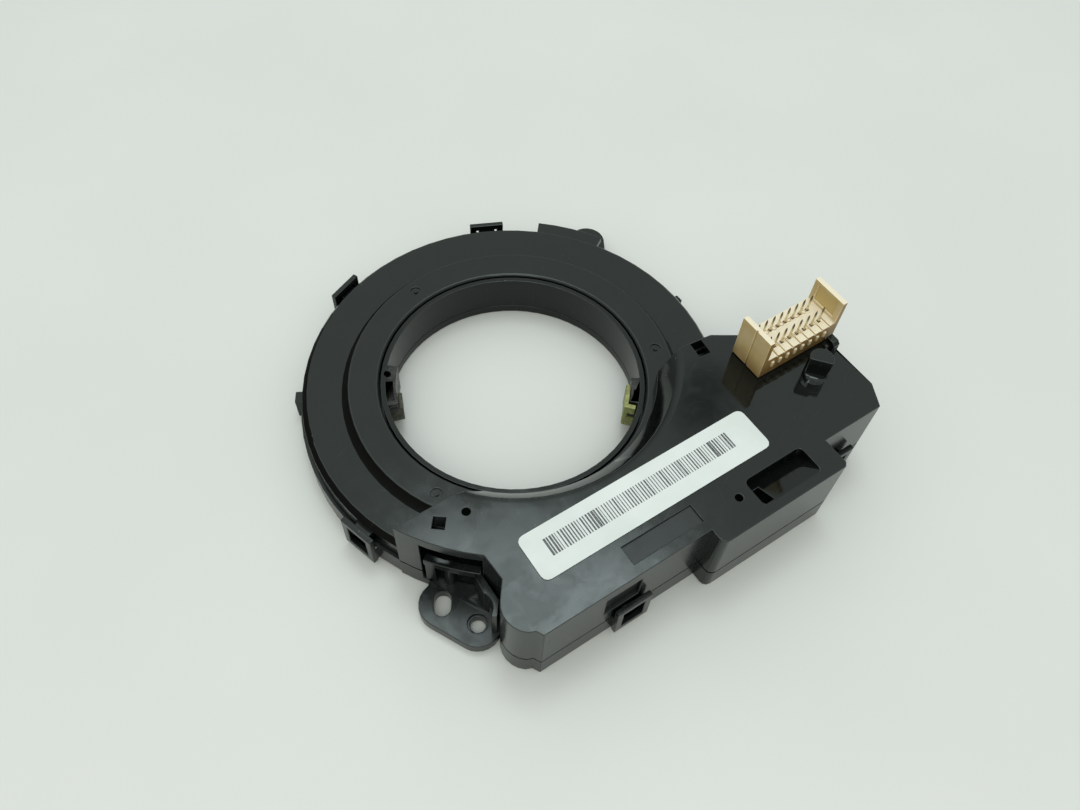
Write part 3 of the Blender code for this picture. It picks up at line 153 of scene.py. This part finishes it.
def moulded_black(name, base, film_and_highlight_colour, film_and_highlight_share, gloss, dull, grain=0.25, relief=1.0, ior=1.5):
    """A black moulding: gloss and dull are its roughness where it is clean and where the film is thick."""
    def build(tree, place):
        cloud = add(tree, "TexNoise", {"Vector": place, "Scale": per(13.0), "Detail": 4.0, "Distortion": 0.9})
        blotch = add(tree, "TexNoise", {"Vector": place, "Scale": per(3.4), "Detail": 4.0, "Distortion": 0.6})
        fine = add(tree, "TexNoise", {"Vector": place, "Scale": per(grain), "Detail": 2.0})
        lines = 0.0
        for angle, length, width, threshold in HAIRLINES:
            drawn = add(tree, "Mapping", {
                "Vector": place, "Rotation": (0.0, 0.0, math.radians(angle)),
                "Scale": (length * MM, width * MM, length * MM),
            }, vector_type="TEXTURE")
            streak = add(tree, "TexNoise", {"Vector": drawn, "Scale": 1.0, "Detail": 1.5})
            mark = add(tree, "MapRange", [streak, threshold, threshold + 0.03, 0.0, 1.0])
            lines = add(tree, "Math", [lines, mark], operation="MAXIMUM")
        away = add(tree, "VectorMath", [place, point(*GRIPPED_HIGHLIT_CORNER)], "Value", operation="DISTANCE")
        gripped_and_highlit = add(tree, "MapRange", [away, GRIP_HIGHLIGHT_REACH[0] * MM, GRIP_HIGHLIGHT_REACH[1] * MM, 1.0, 0.06])
        clouded = add(tree, "MapRange", [cloud, 0.34, 0.66, 0.25, 1.0])
        film = add(tree, "Math", [gripped_and_highlit, clouded], operation="MULTIPLY")
        patchy = add(tree, "MapRange", [blotch, 0.35, 0.65, 0.7, 1.0])
        film = add(tree, "Math", [film, patchy], operation="MULTIPLY")
        facing = add(tree, "SeparateXYZ", [add(tree, "NewGeometry", output="Normal")], "Z")
        lying = add(tree, "MapRange", [facing, 0.3, 0.8, 0.2, 1.0])
        film = add(tree, "Math", [film, lying], operation="MULTIPLY")
        # The film's lighter grey is partly a painted highlight at the near corner, stronger on faces that
        # look up
        veil = add(tree, "Math", [film, film_and_highlight_share], operation="MULTIPLY")
        body = add(tree, "Mix", {0: veil, 6: linear(base), 7: linear(film_and_highlight_colour)}, 2, data_type="RGBA")
        faint = add(tree, "Math", [lines, 0.12], operation="MULTIPLY")
        scored = add(tree, "Mix", {0: faint, 6: body, 7: linear(HAIRLINE_GREY)}, 2, data_type="RGBA")
        cells = add(tree, "TexVoronoi", {"Vector": place, "Scale": per(3.1), "Randomness": 1.0})
        dots = add(tree, "MapRange", [cells, 0.045, 0.02, 0.0, 0.5])
        settled = add(tree, "MapRange", [blotch, 0.5, 0.58, 0.0, 1.0])
        dots = add(tree, "Math", [dots, settled], operation="MULTIPLY")
        dusty = add(tree, "Mix", {0: dots, 6: scored, 7: linear(DUST_GREY)}, 2, data_type="RGBA")
        haze = add(tree, "MapRange", [film, 0.05, 0.8, gloss, dull])
        touch = add(tree, "MapRange", [blotch, 0.45, 0.7, 0.0, 0.05])
        touch = add(tree, "Math", [touch, lying], operation="MULTIPLY")
        rough = add(tree, "Math", [haze, touch], operation="ADD")
        rubbed = add(tree, "Math", [lines, 0.1, rough], operation="MULTIPLY_ADD")
        upright = add(tree, "MapRange", [facing, 0.7, 0.25, 0.0, 1.0])
        rubbed = add(tree, "Math", [upright, WALL_DULL, rubbed], operation="MULTIPLY_ADD")
        sheen = add(tree, "Math", [upright, WALL_SHEEN_LOST, 0.5], operation="MULTIPLY_ADD")
        # The wall sinks a few hundredths of a millimetre over the ribs behind it
        sink = add(tree, "Bump", {"Height": cloud, "Strength": 0.22 * relief, "Distance": 0.05 * MM})
        skin = add(tree, "Bump", {
            "Height": fine, "Normal": sink, "Strength": 0.1 * relief, "Distance": 0.01 * MM,
        })
        # Specular Tint colours every reflection faintly green, a painted colour of the room's light
        return {
            "Base Color": dusty, "Roughness": rubbed, "IOR": ior, "Normal": skin,
            "Specular IOR Level": sheen, "Specular Tint": (0.9, 1.0, 0.95, 1.0),
        }
    return finish(name, build)


# The upper shell takes the most polish, and its edges are a grey line of rubbed wear with a painted highlight
housing_black = moulded_black("moulded_polyester_housing", "#090b0a", "#485050", 0.68, 0.07, 0.3)
housing_edge = moulded_black("rubbed_and_highlit_polyester_edge", "#232726", "#4c5352", 0.5, 0.22, 0.36)
# The lower shell is less polished, so its walls look softer and more even
cover_black = moulded_black("moulded_polyester_cover", "#0b0d0c", "#3a403f", 0.6, 0.12, 0.36, 0.28)
# The lower shell's edges are lighter too: rubbed wear with a painted highlight
cover_edge = moulded_black("rubbed_and_highlit_cover_edge", "#171a19", "#484e4c", 0.5, 0.18, 0.36)
# Moulded acetal of the turning ring mirrors less than polyester, and its edge is paler: rubbed wear with a
# painted highlight
ring_black = moulded_black("moulded_acetal_ring", "#080a09", "#363c3a", 0.6, 0.1, 0.3, 0.3, ior=1.44)
ring_edge = moulded_black("rubbed_and_highlit_acetal_edge", "#262a29", "#6b706d", 0.6, 0.12, 0.28, 0.3)
# Spark-eroded polyester in the long recess reads as a flat dark patch beside the polished top; the same dark
# look on the latch recess's back wall is painted shade
eroded_field_and_shade = moulded_black("spark_eroded_field_and_painted_shade", "#070908", "#2b302f", 0.4, 0.3, 0.42, 0.3, 2.5)
# Polyester in the ring's step and rim on one side: dry brown dirt and painted shade, dark with hardly any
# gloss
dirty_shaded_step = moulded_black("dirty_shaded_ring_step", "#090806", "#1c1a15", 0.3, 0.4, 0.5, 0.3, 2.0, 1.15)


# Acetal of the drive lugs under old grease: lumpy and half dull, with wet glints and brown-grey dirt in it
def greased_acetal(tree, place):
    lumps = add(tree, "TexNoise", {"Vector": place, "Scale": per(0.9), "Detail": 5.0, "Roughness": 0.62})
    dirt = add(tree, "TexNoise", {"Vector": place, "Scale": per(2.1), "Detail": 3.0})
    soiled = add(tree, "MapRange", [dirt, 0.45, 0.65, 0.0, 0.8])
    colour = add(tree, "Mix", {0: soiled, 6: linear("#101110"), 7: linear("#2e2e27")}, 2, data_type="RGBA")
    rough = add(tree, "MapRange", [lumps, 0.35, 0.62, 0.16, 0.5])
    skin = add(tree, "Bump", {"Height": lumps, "Strength": 0.9, "Distance": 0.22 * MM})
    return {"Base Color": colour, "Roughness": rough, "IOR": 1.48, "Normal": skin}


lug_grease = finish("greased_acetal_lug", greased_acetal)


# Ivory glass-filled polyamide of the header: satin and slightly translucent. What faces up stays a clean
# cream, the walls are painted tan as shade, and painted brown shade creeps up from the foot and into the
# grooves.
def header_polyamide(name, cream, tan, foot_shade_colour, gloss):
    def build(tree, place):
        height = add(tree, "SeparateXYZ", [place], "Z")
        facing = add(tree, "SeparateXYZ", [add(tree, "NewGeometry", output="Normal")], "Z")
        cloud = add(tree, "TexNoise", {"Vector": place, "Scale": per(4.6), "Detail": 4.0})
        fine = add(tree, "TexNoise", {"Vector": place, "Scale": per(0.28), "Detail": 3.0})
        tone = add(tree, "MapRange", [cloud, 0.35, 0.68, 0.7, 1.0])
        # Painted shade: the more a face turns from facing up, the more tan it is
        wall_shade = add(tree, "MapRange", [facing, 0.9, 0.4, 0.0, 1.0])
        wall_shade = add(tree, "Math", [wall_shade, tone], operation="MULTIPLY")
        body = add(tree, "Mix", {0: wall_shade, 6: linear(cream), 7: linear(tan)}, 2, data_type="RGBA")
        # Painted shade: browner towards the foot, in patches
        foot = add(tree, "MapRange", [height, 26.8 * MM, 22.0 * MM, 0.0, 0.75])
        creeping = add(tree, "MapRange", [cloud, 0.32, 0.6, 0.5, 1.0])
        creeping = add(tree, "Math", [foot, creeping], operation="MULTIPLY")
        foot_shaded = add(tree, "Mix", {0: creeping, 6: body, 7: linear(foot_shade_colour)}, 2, data_type="RGBA")
        cells = add(tree, "TexVoronoi", {"Vector": place, "Scale": per(1.2)})
        dots = add(tree, "MapRange", [cells, 0.12, 0.05, 0.0, 0.7])
        gathered = add(tree, "MapRange", [cloud, 0.52, 0.6, 0.0, 1.0])
        dots = add(tree, "Math", [dots, gathered], operation="MULTIPLY")
        specked = add(tree, "Mix", {0: dots, 6: foot_shaded, 7: linear("#6a5230")}, 2, data_type="RGBA")
        rough = add(tree, "MapRange", [fine, 0.3, 0.7, gloss - 0.05, gloss + 0.1])
        skin = add(tree, "Bump", {"Height": fine, "Strength": 0.3, "Distance": 0.01 * MM})
        return {
            "Base Color": specked, "Roughness": rough, "IOR": 1.53, "Normal": skin,
            "Subsurface Weight": 0.12, "Subsurface Radius": (1.0, 0.7, 0.4), "Subsurface Scale": 0.5 * MM,
        }
    return finish(name, build)


# The clean moulded faces, their thin edges painted lighter as a highlight where light comes through, the
# stained panel and the groove with a painted shadow, and the front face painted brown as shade
header_ivory = header_polyamide("moulded_polyamide_ivory", "#efe4c9", "#cbaf73", "#7d5c2e", 0.4)
header_edge = header_polyamide("polyamide_ivory_edge", "#f6eed8", "#ead6a9", "#94723f", 0.36)
header_stain_and_shadow = header_polyamide("stained_and_shadowed_polyamide", "#d8c48c", "#c8ad6c", "#5d4120", 0.45)
header_front_shade = header_polyamide("shaded_polyamide_front", "#a98a52", "#9a7842", "#4f3819", 0.45)


# Square brass pins with hot-dipped tin: a warm bright metal, pale near the floor where the ivory header's
# reflection is painted in, and greyer and duller towards the tip, also a painted reflection
def tinned_brass(tree, place):
    height = add(tree, "SeparateXYZ", [place], "Z")
    fine = add(tree, "TexNoise", {"Vector": place, "Scale": per(0.5), "Detail": 3.0})
    # Painted reflection: pale ivory near the floor, dark grey from here up to the tip
    tip = add(tree, "MapRange", [height, 29.6 * MM, 30.8 * MM, 0.0, 1.0])
    body = add(tree, "Mix", {0: tip, 6: linear("#eee4c6"), 7: linear("#605c50")}, 2, data_type="RGBA")
    worn = add(tree, "MapRange", [fine, 0.4, 0.7, 0.0, 0.6])
    dulled = add(tree, "Mix", {0: worn, 6: body, 7: linear("#a3936c")}, 2, data_type="RGBA")
    rough = add(tree, "MapRange", [fine, 0.3, 0.7, 0.3, 0.5])
    return {"Base Color": dulled, "Roughness": rough, "Metallic": 1.0}


pin_finish = finish("tinned_brass_pin", tinned_brass)

# White polyester film with a matt print coat: faintly cool, with thin printed bars of uneven width in one
# strip. The bars are thicker in a few groups, which lie between these places.
BARS_LEFT, BARS_RIGHT = -20.0, 26.1
BARS_FRONT, BARS_BACK = -45.4, -41.4
BAR_PITCH = 0.66
BAR_GROUPS = ((-20.0, -18.2), (-9.3, -7.4), (12.7, 13.4), (20.8, 23.0), (24.6, 26.1))


def printed_film(tree, place):
    x = add(tree, "SeparateXYZ", [place], "X")
    y = add(tree, "SeparateXYZ", [place], "Y")
    start = add(tree, "Math", [x, point(BARS_LEFT, 0, 0).x], operation="SUBTRACT")
    across = add(tree, "Math", [start, BAR_PITCH * MM], operation="DIVIDE")
    step = add(tree, "Math", [across], operation="FLOOR")
    part = add(tree, "Math", [across], operation="FRACT")
    draw = add(tree, "TexWhiteNoise", {"W": step}, noise_dimensions="1D")
    width = add(tree, "MapRange", [draw, 0.0, 1.0, 0.24, 0.62])
    for left, right in BAR_GROUPS:
        middle, half = point((left + right) / 2, 0, 0).x, (right - left) / 2 * MM
        inside = add(tree, "Math", [x, middle, half], operation="COMPARE")
        width = add(tree, "Math", [inside, 0.3, width], operation="MULTIPLY_ADD")
    bar = add(tree, "Math", [part, width], operation="LESS_THAN")
    for value, low, high in (
        (x, point(BARS_LEFT, 0, 0).x, point(BARS_RIGHT, 0, 0).x),
        (y, point(0, BARS_FRONT, 0).y, point(0, BARS_BACK, 0).y),
    ):
        inside = add(tree, "Math", [value, (low + high) / 2, (high - low) / 2], operation="COMPARE")
        bar = add(tree, "Math", [bar, inside], operation="MULTIPLY")
    film = add(tree, "TexNoise", {"Vector": place, "Scale": per(9.0), "Detail": 3.0})
    fibre = add(tree, "TexNoise", {"Vector": place, "Scale": per(0.3), "Detail": 2.0})
    tone = add(tree, "MapRange", [film, 0.35, 0.7, 0.0, 1.0])
    white = add(tree, "Mix", {0: tone, 6: linear("#dfe5e1"), 7: linear("#d5dcd7")}, 2, data_type="RGBA")
    faded = add(tree, "MapRange", [fibre, 0.25, 0.6, 0.74, 0.95])
    faded = add(tree, "Math", [bar, faded], operation="MULTIPLY")
    printed = add(tree, "Mix", {0: faded, 6: white, 7: linear("#23292a")}, 2, data_type="RGBA")
    rough = add(tree, "MapRange", [film, 0.3, 0.7, 0.36, 0.48])
    skin = add(tree, "Bump", {"Height": film, "Strength": 0.2, "Distance": 0.03 * MM})
    return {"Base Color": printed, "Roughness": rough, "IOR": 1.5, "Normal": skin}


label_finish = finish("printed_polyester_film", printed_film)


# Cast urethane of the drive pads: yellow-green and waxy where light shows through, with dirt in its pores
def cast_urethane(name, base, shade, soiled):
    def build(tree, place):
        pores = add(tree, "TexVoronoi", {"Vector": place, "Scale": per(0.5)})
        cloud = add(tree, "TexNoise", {"Vector": place, "Scale": per(1.9), "Detail": 3.0})
        specks = add(tree, "TexNoise", {"Vector": place, "Scale": per(0.6), "Detail": 4.0})
        tone = add(tree, "MapRange", [cloud, 0.35, 0.65, 0.0, 1.0])
        body = add(tree, "Mix", {0: tone, 6: linear(base), 7: linear(shade)}, 2, data_type="RGBA")
        dirt = add(tree, "MapRange", [specks, soiled, soiled + 0.18, 0.0, 0.7])
        dirty = add(tree, "Mix", {0: dirt, 6: body, 7: linear("#26271c")}, 2, data_type="RGBA")
        rough = add(tree, "MapRange", [cloud, 0.3, 0.7, 0.3, 0.6])
        skin = add(tree, "Bump", {"Height": pores, "Strength": 0.45, "Distance": 0.1 * MM})
        return {
            "Base Color": dirty, "Roughness": rough, "Normal": skin,
            "Subsurface Weight": 0.15, "Subsurface Radius": (0.9, 1.0, 0.4), "Subsurface Scale": 0.6 * MM,
        }
    return finish(name, build)


pad_looks = {
    "right": cast_urethane("cast_urethane_pad", "#a2a665", "#858a4d", 0.52),
    # The left pad is the same urethane in a darker copy
    "left": cast_urethane("darker_urethane_pad", "#51533a", "#35372a", 0.44),
}


# Pieces inside the housing, seen only through the holes: each has its own colour, a slight mottle and a
# grain. The gears are milky, the magnets dark with a dull metal glint, the board deep green under its resist,
# the packages matt charcoal, the capacitors tan, and the can and the screws are bright metal.
def inner_part(name, base, shade, gloss, metallic=0.0, grain=0.6):
    def build(tree, place):
        cloud = add(tree, "TexNoise", {"Vector": place, "Scale": per(grain * 6), "Detail": 3.0})
        fine = add(tree, "TexNoise", {"Vector": place, "Scale": per(grain), "Detail": 3.0})
        tone = add(tree, "MapRange", [cloud, 0.35, 0.65, 0.0, 1.0])
        body = add(tree, "Mix", {0: tone, 6: linear(base), 7: linear(shade)}, 2, data_type="RGBA")
        rough = add(tree, "MapRange", [fine, 0.3, 0.7, gloss - 0.06, gloss + 0.06])
        skin = add(tree, "Bump", {"Height": fine, "Strength": 0.3, "Distance": 0.01 * MM})
        return {"Base Color": body, "Roughness": rough, "Metallic": metallic, "Normal": skin}
    return finish(name, build)


gear_finish = inner_part("moulded_acetal_gear", "#c9c6ba", "#bdb9ab", 0.42)
magnet_finish = inner_part("bonded_ferrite_magnet", "#3b3c40", "#2c2d31", 0.45, 0.6)
board_finish = inner_part("solder_resist_on_glass_epoxy", "#0e2b19", "#0b2314", 0.35, grain=0.9)
chip_finish = inner_part("moulded_epoxy_package", "#1b1b1c", "#232324", 0.5, grain=0.2)
ceramic_finish = inner_part("fired_ceramic_capacitor", "#9a7a55", "#8b6c48", 0.45)
can_finish = inner_part("drawn_steel_can", "#b9b9bb", "#a9a9ab", 0.28, 1.0)
screw_finish = inner_part("zinc_plated_screw", "#b8b8b2", "#a7a8a0", 0.32, 1.0)


# Shape helpers: facets that lie this flat are joined, edges are rounded from this crease and length on, and
# shading is smooth up to this angle
FLAT = math.radians(0.5)
CREASE = math.radians(30.0)
SHORTEST_EDGE = 0.3
SMOOTH_UP_TO = math.radians(38.0)


def piece(name, shape, body, looks):
    """A bmesh in metres made into a piece that rides on a body."""
    mesh = bpy.data.meshes.new(name)
    shape.to_mesh(mesh)
    shape.free()
    made = bpy.data.objects.new(name, mesh)
    bpy.context.scene.collection.objects.link(made)
    for look in looks:
        mesh.materials.append(look)
    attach(made, body)
    return made


def node_shape(node):
    """A copy of a moulded solid, in millimetres, with its facets joined where they lie flat."""
    shape = bmesh.new()
    shape.from_mesh(frame["nodes"][node].data)
    bmesh.ops.scale(shape, vec=Vector((1, 1, 1)) / MM, verts=shape.verts)
    bmesh.ops.remove_doubles(shape, verts=shape.verts, dist=0.002)
    bmesh.ops.dissolve_limit(shape, angle_limit=FLAT, verts=shape.verts, edges=shape.edges)
    return shape


def open_seam_and_steps(shape):
    """Lifts the seam's upper lip, and draws out the ring's step and rim on the side painted dark with dirt
    and shade.
    """
    for vert in shape.verts:
        if near(vert.co.z, SEAM_TOP, 0.01):
            vert.co.z += SEAM_OPENS
        place = vert.co.xy - Vector((AXIS_X, AXIS_Y))
        outward = place.normalized()
        for reach, height, spread in RING_STEPS:
            if near(place.length, reach, 0.12) and near(vert.co.z, height, 0.12):
                vert.co.xy += outward * spread * max(0.0, outward.dot(DIRTY_SHADED_SIDE))


def stays_sharp(edge):
    """The seam, the slot beside the shoulder and the foot of the peg's flat keep their edges."""
    places = [vert.co - Vector((AXIS_X, AXIS_Y, 0)) for vert in edge.verts]
    return (
        all(SEAM[0] < p.z < SEAM[1] for p in places)
        or all((p.xy - SHOULDER_SLOT).length < SLOT_REACH for p in places)
        or all(PEG_FLAT_FOOT[0] < p.z < PEG_FLAT_FOOT[1] for p in places)
    )


def round_edges(shape, width):
    """Rounds the outer edges, as the tool leaves them. The new faces take the second look."""
    chosen = [
        e for e in shape.edges
        if e.is_manifold and e.is_convex and e.calc_face_angle() > CREASE
        and e.calc_length() > SHORTEST_EDGE and not stays_sharp(e)
    ]
    bmesh.ops.bevel(
        shape, geom=chosen, offset=width, offset_type="OFFSET", segments=2, profile=0.5,
        affect="EDGES", clamp_overlap=False, material=1, loop_slide=True,
    )


def smooth(obj):
    """Shades the rounded edges as curves, while the large faces stay flat."""
    obj.data.shade_smooth()
    obj.data.set_sharp_from_angle(angle=SMOOTH_UP_TO)
    weight = obj.modifiers.new("weighted_normal", "WEIGHTED_NORMAL")
    weight.keep_sharp = True
    weight.weight = 80


def finished(node, body, looks, width, reshape=None):
    """The visible form of a moulded solid: the same shape, with its edges rounded to this width."""
    shape = node_shape(node)
    if reshape:
        reshape(shape)
    round_edges(shape, width)
    bmesh.ops.scale(shape, vec=Vector((MM, MM, MM)), verts=shape.verts)
    made = piece(node + "_moulding", shape, body, looks)
    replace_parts(made, node)
    smooth(made)
    return made


housing = finished(
    "upper_housing", "housing", (housing_black, housing_edge, eroded_field_and_shade, dirty_shaded_step),
    0.18, open_seam_and_steps,
)
finished("lower_cover", "housing", (cover_black, cover_edge), 0.18)
turning_ring = finished(
    "rotor_ring", "rotor", (ring_black, ring_edge, lug_grease),
    0.12,
)
header = finished(
    "connector_header", "housing", (header_ivory, header_edge, header_stain_and_shadow, header_front_shade),
    0.1,
)
for side, look in pad_looks.items():
    finished(f"drive_pad_{side}", "rotor", (look, look), 0.2)


def drawn_pin(node):
    """The visible form of a contact pin: the solid drawn in above the header's floor, as the real one is."""
    shape = node_shape(node)
    middle = sum((vert.co.xy for vert in shape.verts), Vector((0, 0))) / len(shape.verts)
    for vert in shape.verts:
        if vert.co.z > HEADER_FLOOR:
            vert.co.xy = middle + (vert.co.xy - middle) * PIN_DRAWN_IN
    bmesh.ops.scale(shape, vec=Vector((MM, MM, MM)), verts=shape.verts)
    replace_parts(piece(node + "_drawn", shape, "housing", (pin_finish,)), node)


for row in "ab":
    for i in range(1, PINS_IN_ROW + 1):
        drawn_pin(f"pin_{row}{i}")


# Which faces take another look, by their direction and their corners in millimetres from the axis. A face
# is square to a direction above this cosine.
SQUARE = 0.9


def on_lug(facing, corners):
    return sum(c.xy.length for c in corners) < RING_WALL_IN * len(corners)


def in_long_recess(facing, corners):
    left, right, back, floor_height = LONG_RECESS
    return facing.z > SQUARE and all(
        near(c.z, floor_height, 0.1) and left < c.x < right and c.y < back for c in corners
    )


def in_latch_recess(facing, corners):
    left, right, wall = LATCH_RECESS
    return facing.y < -SQUARE and all(near(c.y, wall, 0.1) and left < c.x < right for c in corners)


def in_band(corners, band):
    inner, outer, low, high = band
    return all(inner < c.xy.length < outer and low < c.z < high for c in corners)


def on_dirty_shaded_step(facing, corners):
    return facing.z < SQUARE and facing.x < 0.0 and in_band(corners, STEP_BAND)


def on_dirty_shaded_rim(facing, corners):
    slopes = 0.3 < facing.z < 0.99
    return slopes and facing.xy.dot(DIRTY_SHADED_SIDE) > 0.0 and in_band(corners, RIM_BAND)


def in_header_panel(facing, corners):
    return facing.x < -SQUARE and all(near(c.x, HEADER_PANEL, 0.1) for c in corners)


def in_header_groove(facing, corners):
    return all(HEADER_GROOVE[0] < c.x < HEADER_GROOVE[1] for c in corners)


def at_header_foot(facing, corners):
    return facing.y < -SQUARE and all(near(c.y, HEADER_FRONT, 0.05) for c in corners)


for obj, look, chosen in (
    (turning_ring, lug_grease, on_lug),
    (housing, eroded_field_and_shade, in_long_recess),
    # The latch recess's back wall takes the dark eroded look as painted shade
    (housing, eroded_field_and_shade, in_latch_recess),
    # The step and rim on one side take the dark look: dirt with painted shade
    (housing, dirty_shaded_step, on_dirty_shaded_step),
    (housing, dirty_shaded_step, on_dirty_shaded_rim),
    # The header's panel is stained, and its groove takes a painted shadow
    (header, header_stain_and_shadow, in_header_panel),
    (header, header_stain_and_shadow, in_header_groove),
    # The header's front face is painted brown as shade
    (header, header_front_shade, at_header_foot),
):
    index = obj.data.materials.find(look.name)
    for face in obj.data.polygons:
        corners = [obj.data.vertices[v].co / MM - Vector((AXIS_X, AXIS_Y, 0)) for v in face.vertices]
        if chosen(face.normal, corners):
            face.material_index = index


# Shallow round grooves in the header's floor, one beside each pin but the last in its row: each ring of the
# cutter has a radius and a height over the floor
GROOVE_OFFSET = (1.05, -0.1)
GROOVE_PROFILE = ((0.36, 0.5), (0.62, 0.5), (0.58, -0.22), (0.4, -0.22))
GROOVE_SIDES = 16
turns = [2 * math.pi * k / GROOVE_SIDES for k in range(GROOVE_SIDES)]
grooves = bmesh.new()
for row in PIN_ROWS:
    for i in range(PINS_IN_ROW - 1):
        x, y = FIRST_PIN_X + i * PIN_PITCH + GROOVE_OFFSET[0], row + GROOVE_OFFSET[1]
        rings = [
            [
                grooves.verts.new(point(x + radius * math.cos(a), y + radius * math.sin(a), HEADER_FLOOR + z))
                for a in turns
            ]
            for radius, z in GROOVE_PROFILE
        ]
        for first, second in zip(rings, rings[1:] + rings[:1]):
            for k in range(GROOVE_SIDES):
                grooves.faces.new((first[k], first[k - 1], second[k - 1], second[k]))
bmesh.ops.recalc_face_normals(grooves, faces=grooves.faces)
groove_mesh = bpy.data.meshes.new("floor_grooves")
grooves.to_mesh(groove_mesh)
grooves.free()
cutter = bpy.data.objects.new("floor_grooves", groove_mesh)
bpy.context.scene.collection.objects.link(cutter)
cut = header.modifiers.new("floor_grooves", "BOOLEAN")
cut.object, cut.operation, cut.solver = cutter, "DIFFERENCE", "EXACT"
bpy.context.view_layer.update()
carved = bpy.data.meshes.new_from_object(header.evaluated_get(bpy.context.evaluated_depsgraph_get()))
header.modifiers.clear()
header.data = carved
bpy.data.objects.remove(cutter, do_unlink=True)
smooth(header)

# Pieces whose moulded solid already has the right shape
for look, nodes in (
    (gear_finish, ("measuring_gear_a", "measuring_gear_b")),
    (magnet_finish, ("magnet_a", "magnet_b")),
    (board_finish, ("circuit_board",)),
    (chip_finish, ("sensor_chip_a", "sensor_chip_b", "microcontroller", "bus_transceiver")),
    (chip_finish, ("voltage_regulator",)),
    (can_finish, ("resonator",)),
    (ceramic_finish, ("filter_capacitor_a", "filter_capacitor_b")),
    (screw_finish, ("board_screw_a", "board_screw_b", "board_screw_c")),
    (label_finish, ("label",)),
):
    for node in nodes:
        obj = frame["nodes"][node]
        obj.data.materials.clear()
        obj.data.materials.append(look)


# Floor: pale satin paint with a faint mottle
def satin_paint(tree, place):
    cloud = add(tree, "TexNoise", {"Vector": place, "Scale": per(90.0), "Detail": 3.0})
    tone = add(tree, "MapRange", [cloud, 0.35, 0.65, 0.0, 1.0])
    body = add(tree, "Mix", {0: tone, 6: linear("#dddfda"), 7: linear("#d9dcd6")}, 2, data_type="RGBA")
    return {"Base Color": body, "Roughness": 0.5}


# It reaches this far each way, and lies a hair under the part so that no two faces meet, both in metres
FLOOR_REACH = 4.0
FLOOR_DROP = Matrix.Translation((0, 0, -0.0002))
floor_shape = bmesh.new()
bmesh.ops.create_grid(floor_shape, x_segments=1, y_segments=1, size=FLOOR_REACH, matrix=FLOOR_DROP)
floor_mesh = bpy.data.meshes.new("floor")
floor_shape.to_mesh(floor_mesh)
floor_shape.free()
floor_mesh.materials.append(finish("satin_painted_floor", satin_paint))
floor = bpy.data.objects.new("floor", floor_mesh)
bpy.context.scene.collection.objects.link(floor)

# Light: a pale room, lighter overhead and to the left, with one small dark lampshade that the top of the
# box mirrors, a soft panel nearly overhead and a wide one on the near side
BRIGHT_SIDE = (-0.75, 0.1, 0.3)
LAMPSHADE = Vector((0.475, 0.345, 0.81)).normalized()
SEEN_STRENGTH = 0.8
world = bpy.data.worlds.new("room")
bpy.context.scene.world = world
world.use_nodes = True
tree = world.node_tree
tree.nodes.clear()
toward = add(tree, "TexCoord", output="Generated")
climb = add(tree, "SeparateXYZ", [toward], "Z")
height = add(tree, "MapRange", [climb, 0.0, 0.9, 0.22, 1.0])
side = add(tree, "VectorMath", [toward, BRIGHT_SIDE], "Value", operation="DOT_PRODUCT")
side = add(tree, "MapRange", [side, -0.6, 0.7, 0.86, 1.06])
strength = add(tree, "Math", [height, side], operation="MULTIPLY")
shade = add(tree, "VectorMath", [toward, LAMPSHADE], "Value", operation="DOT_PRODUCT")
shade = add(tree, "MapRange", [shade, 0.9988, 0.9998, 1.0, 0.35])
strength = add(tree, "Math", [strength, shade], operation="MULTIPLY")
# The camera sees the room at no less than this strength, and nothing is lit by that
seen = add(tree, "LightPath", output="Is Camera Ray")
seen = add(tree, "Math", [seen, SEEN_STRENGTH], operation="MULTIPLY")
strength = add(tree, "Math", [strength, seen], operation="MAXIMUM")
sky = add(tree, "Background", {"Color": linear("#f8fefb"), "Strength": strength})
add(tree, "OutputWorld", {"Surface": sky})


def panel(name, place, size, power, colour):
    """A rectangular lamp that faces the part: its place and size in metres, its power in watts."""
    lamp = bpy.data.lights.new(name, "AREA")
    lamp.shape = "RECTANGLE"
    lamp.size, lamp.size_y = size
    lamp.energy = power
    lamp.color = linear(colour)[:3]
    made = bpy.data.objects.new(name, lamp)
    bpy.context.scene.collection.objects.link(made)
    made.location = place
    made.rotation_euler = (-Vector(place)).to_track_quat("-Z", "Y").to_euler()


panel("ceiling_panel", (0.13, 0.165, 0.88), (0.3, 0.28), 1.25, "#f2f8ff")
panel("near_side_panel", (-0.5, -0.75, 1.3), (0.8, 0.8), 4.0, "#fffdf8")

# Camera at the photograph's place: where it stands in millimetres, its three directions, and its focal
# length in pixels of the photograph
CAMERA_PLACE = (-67.43, -101.19, 183.18)
VIEW_RIGHT = Vector((0.8333, -0.5515, 0.0380))
VIEW_UP = Vector((0.4421, 0.7061, 0.5532))
VIEW_BACK = Vector((-0.3319, -0.4442, 0.8322))
FOCAL_PIXELS = 911.97
PHOTO_WIDTH = 1080
SENSOR_WIDTH = 36.0
camera = bpy.data.objects.new("camera", bpy.data.cameras.new("camera"))
bpy.context.scene.collection.objects.link(camera)
camera.data.sensor_width = SENSOR_WIDTH
camera.data.lens = SENSOR_WIDTH * FOCAL_PIXELS / PHOTO_WIDTH
camera.data.clip_start, camera.data.clip_end = 0.01, 20.0
camera.matrix_world = Matrix.Translation(point(*CAMERA_PLACE)) @ Matrix(
    (VIEW_RIGHT.normalized(), VIEW_UP.normalized(), VIEW_BACK.normalized())
).transposed().to_4x4()
bpy.context.scene.camera = camera
bpy.context.scene.view_settings.view_transform = "Standard"
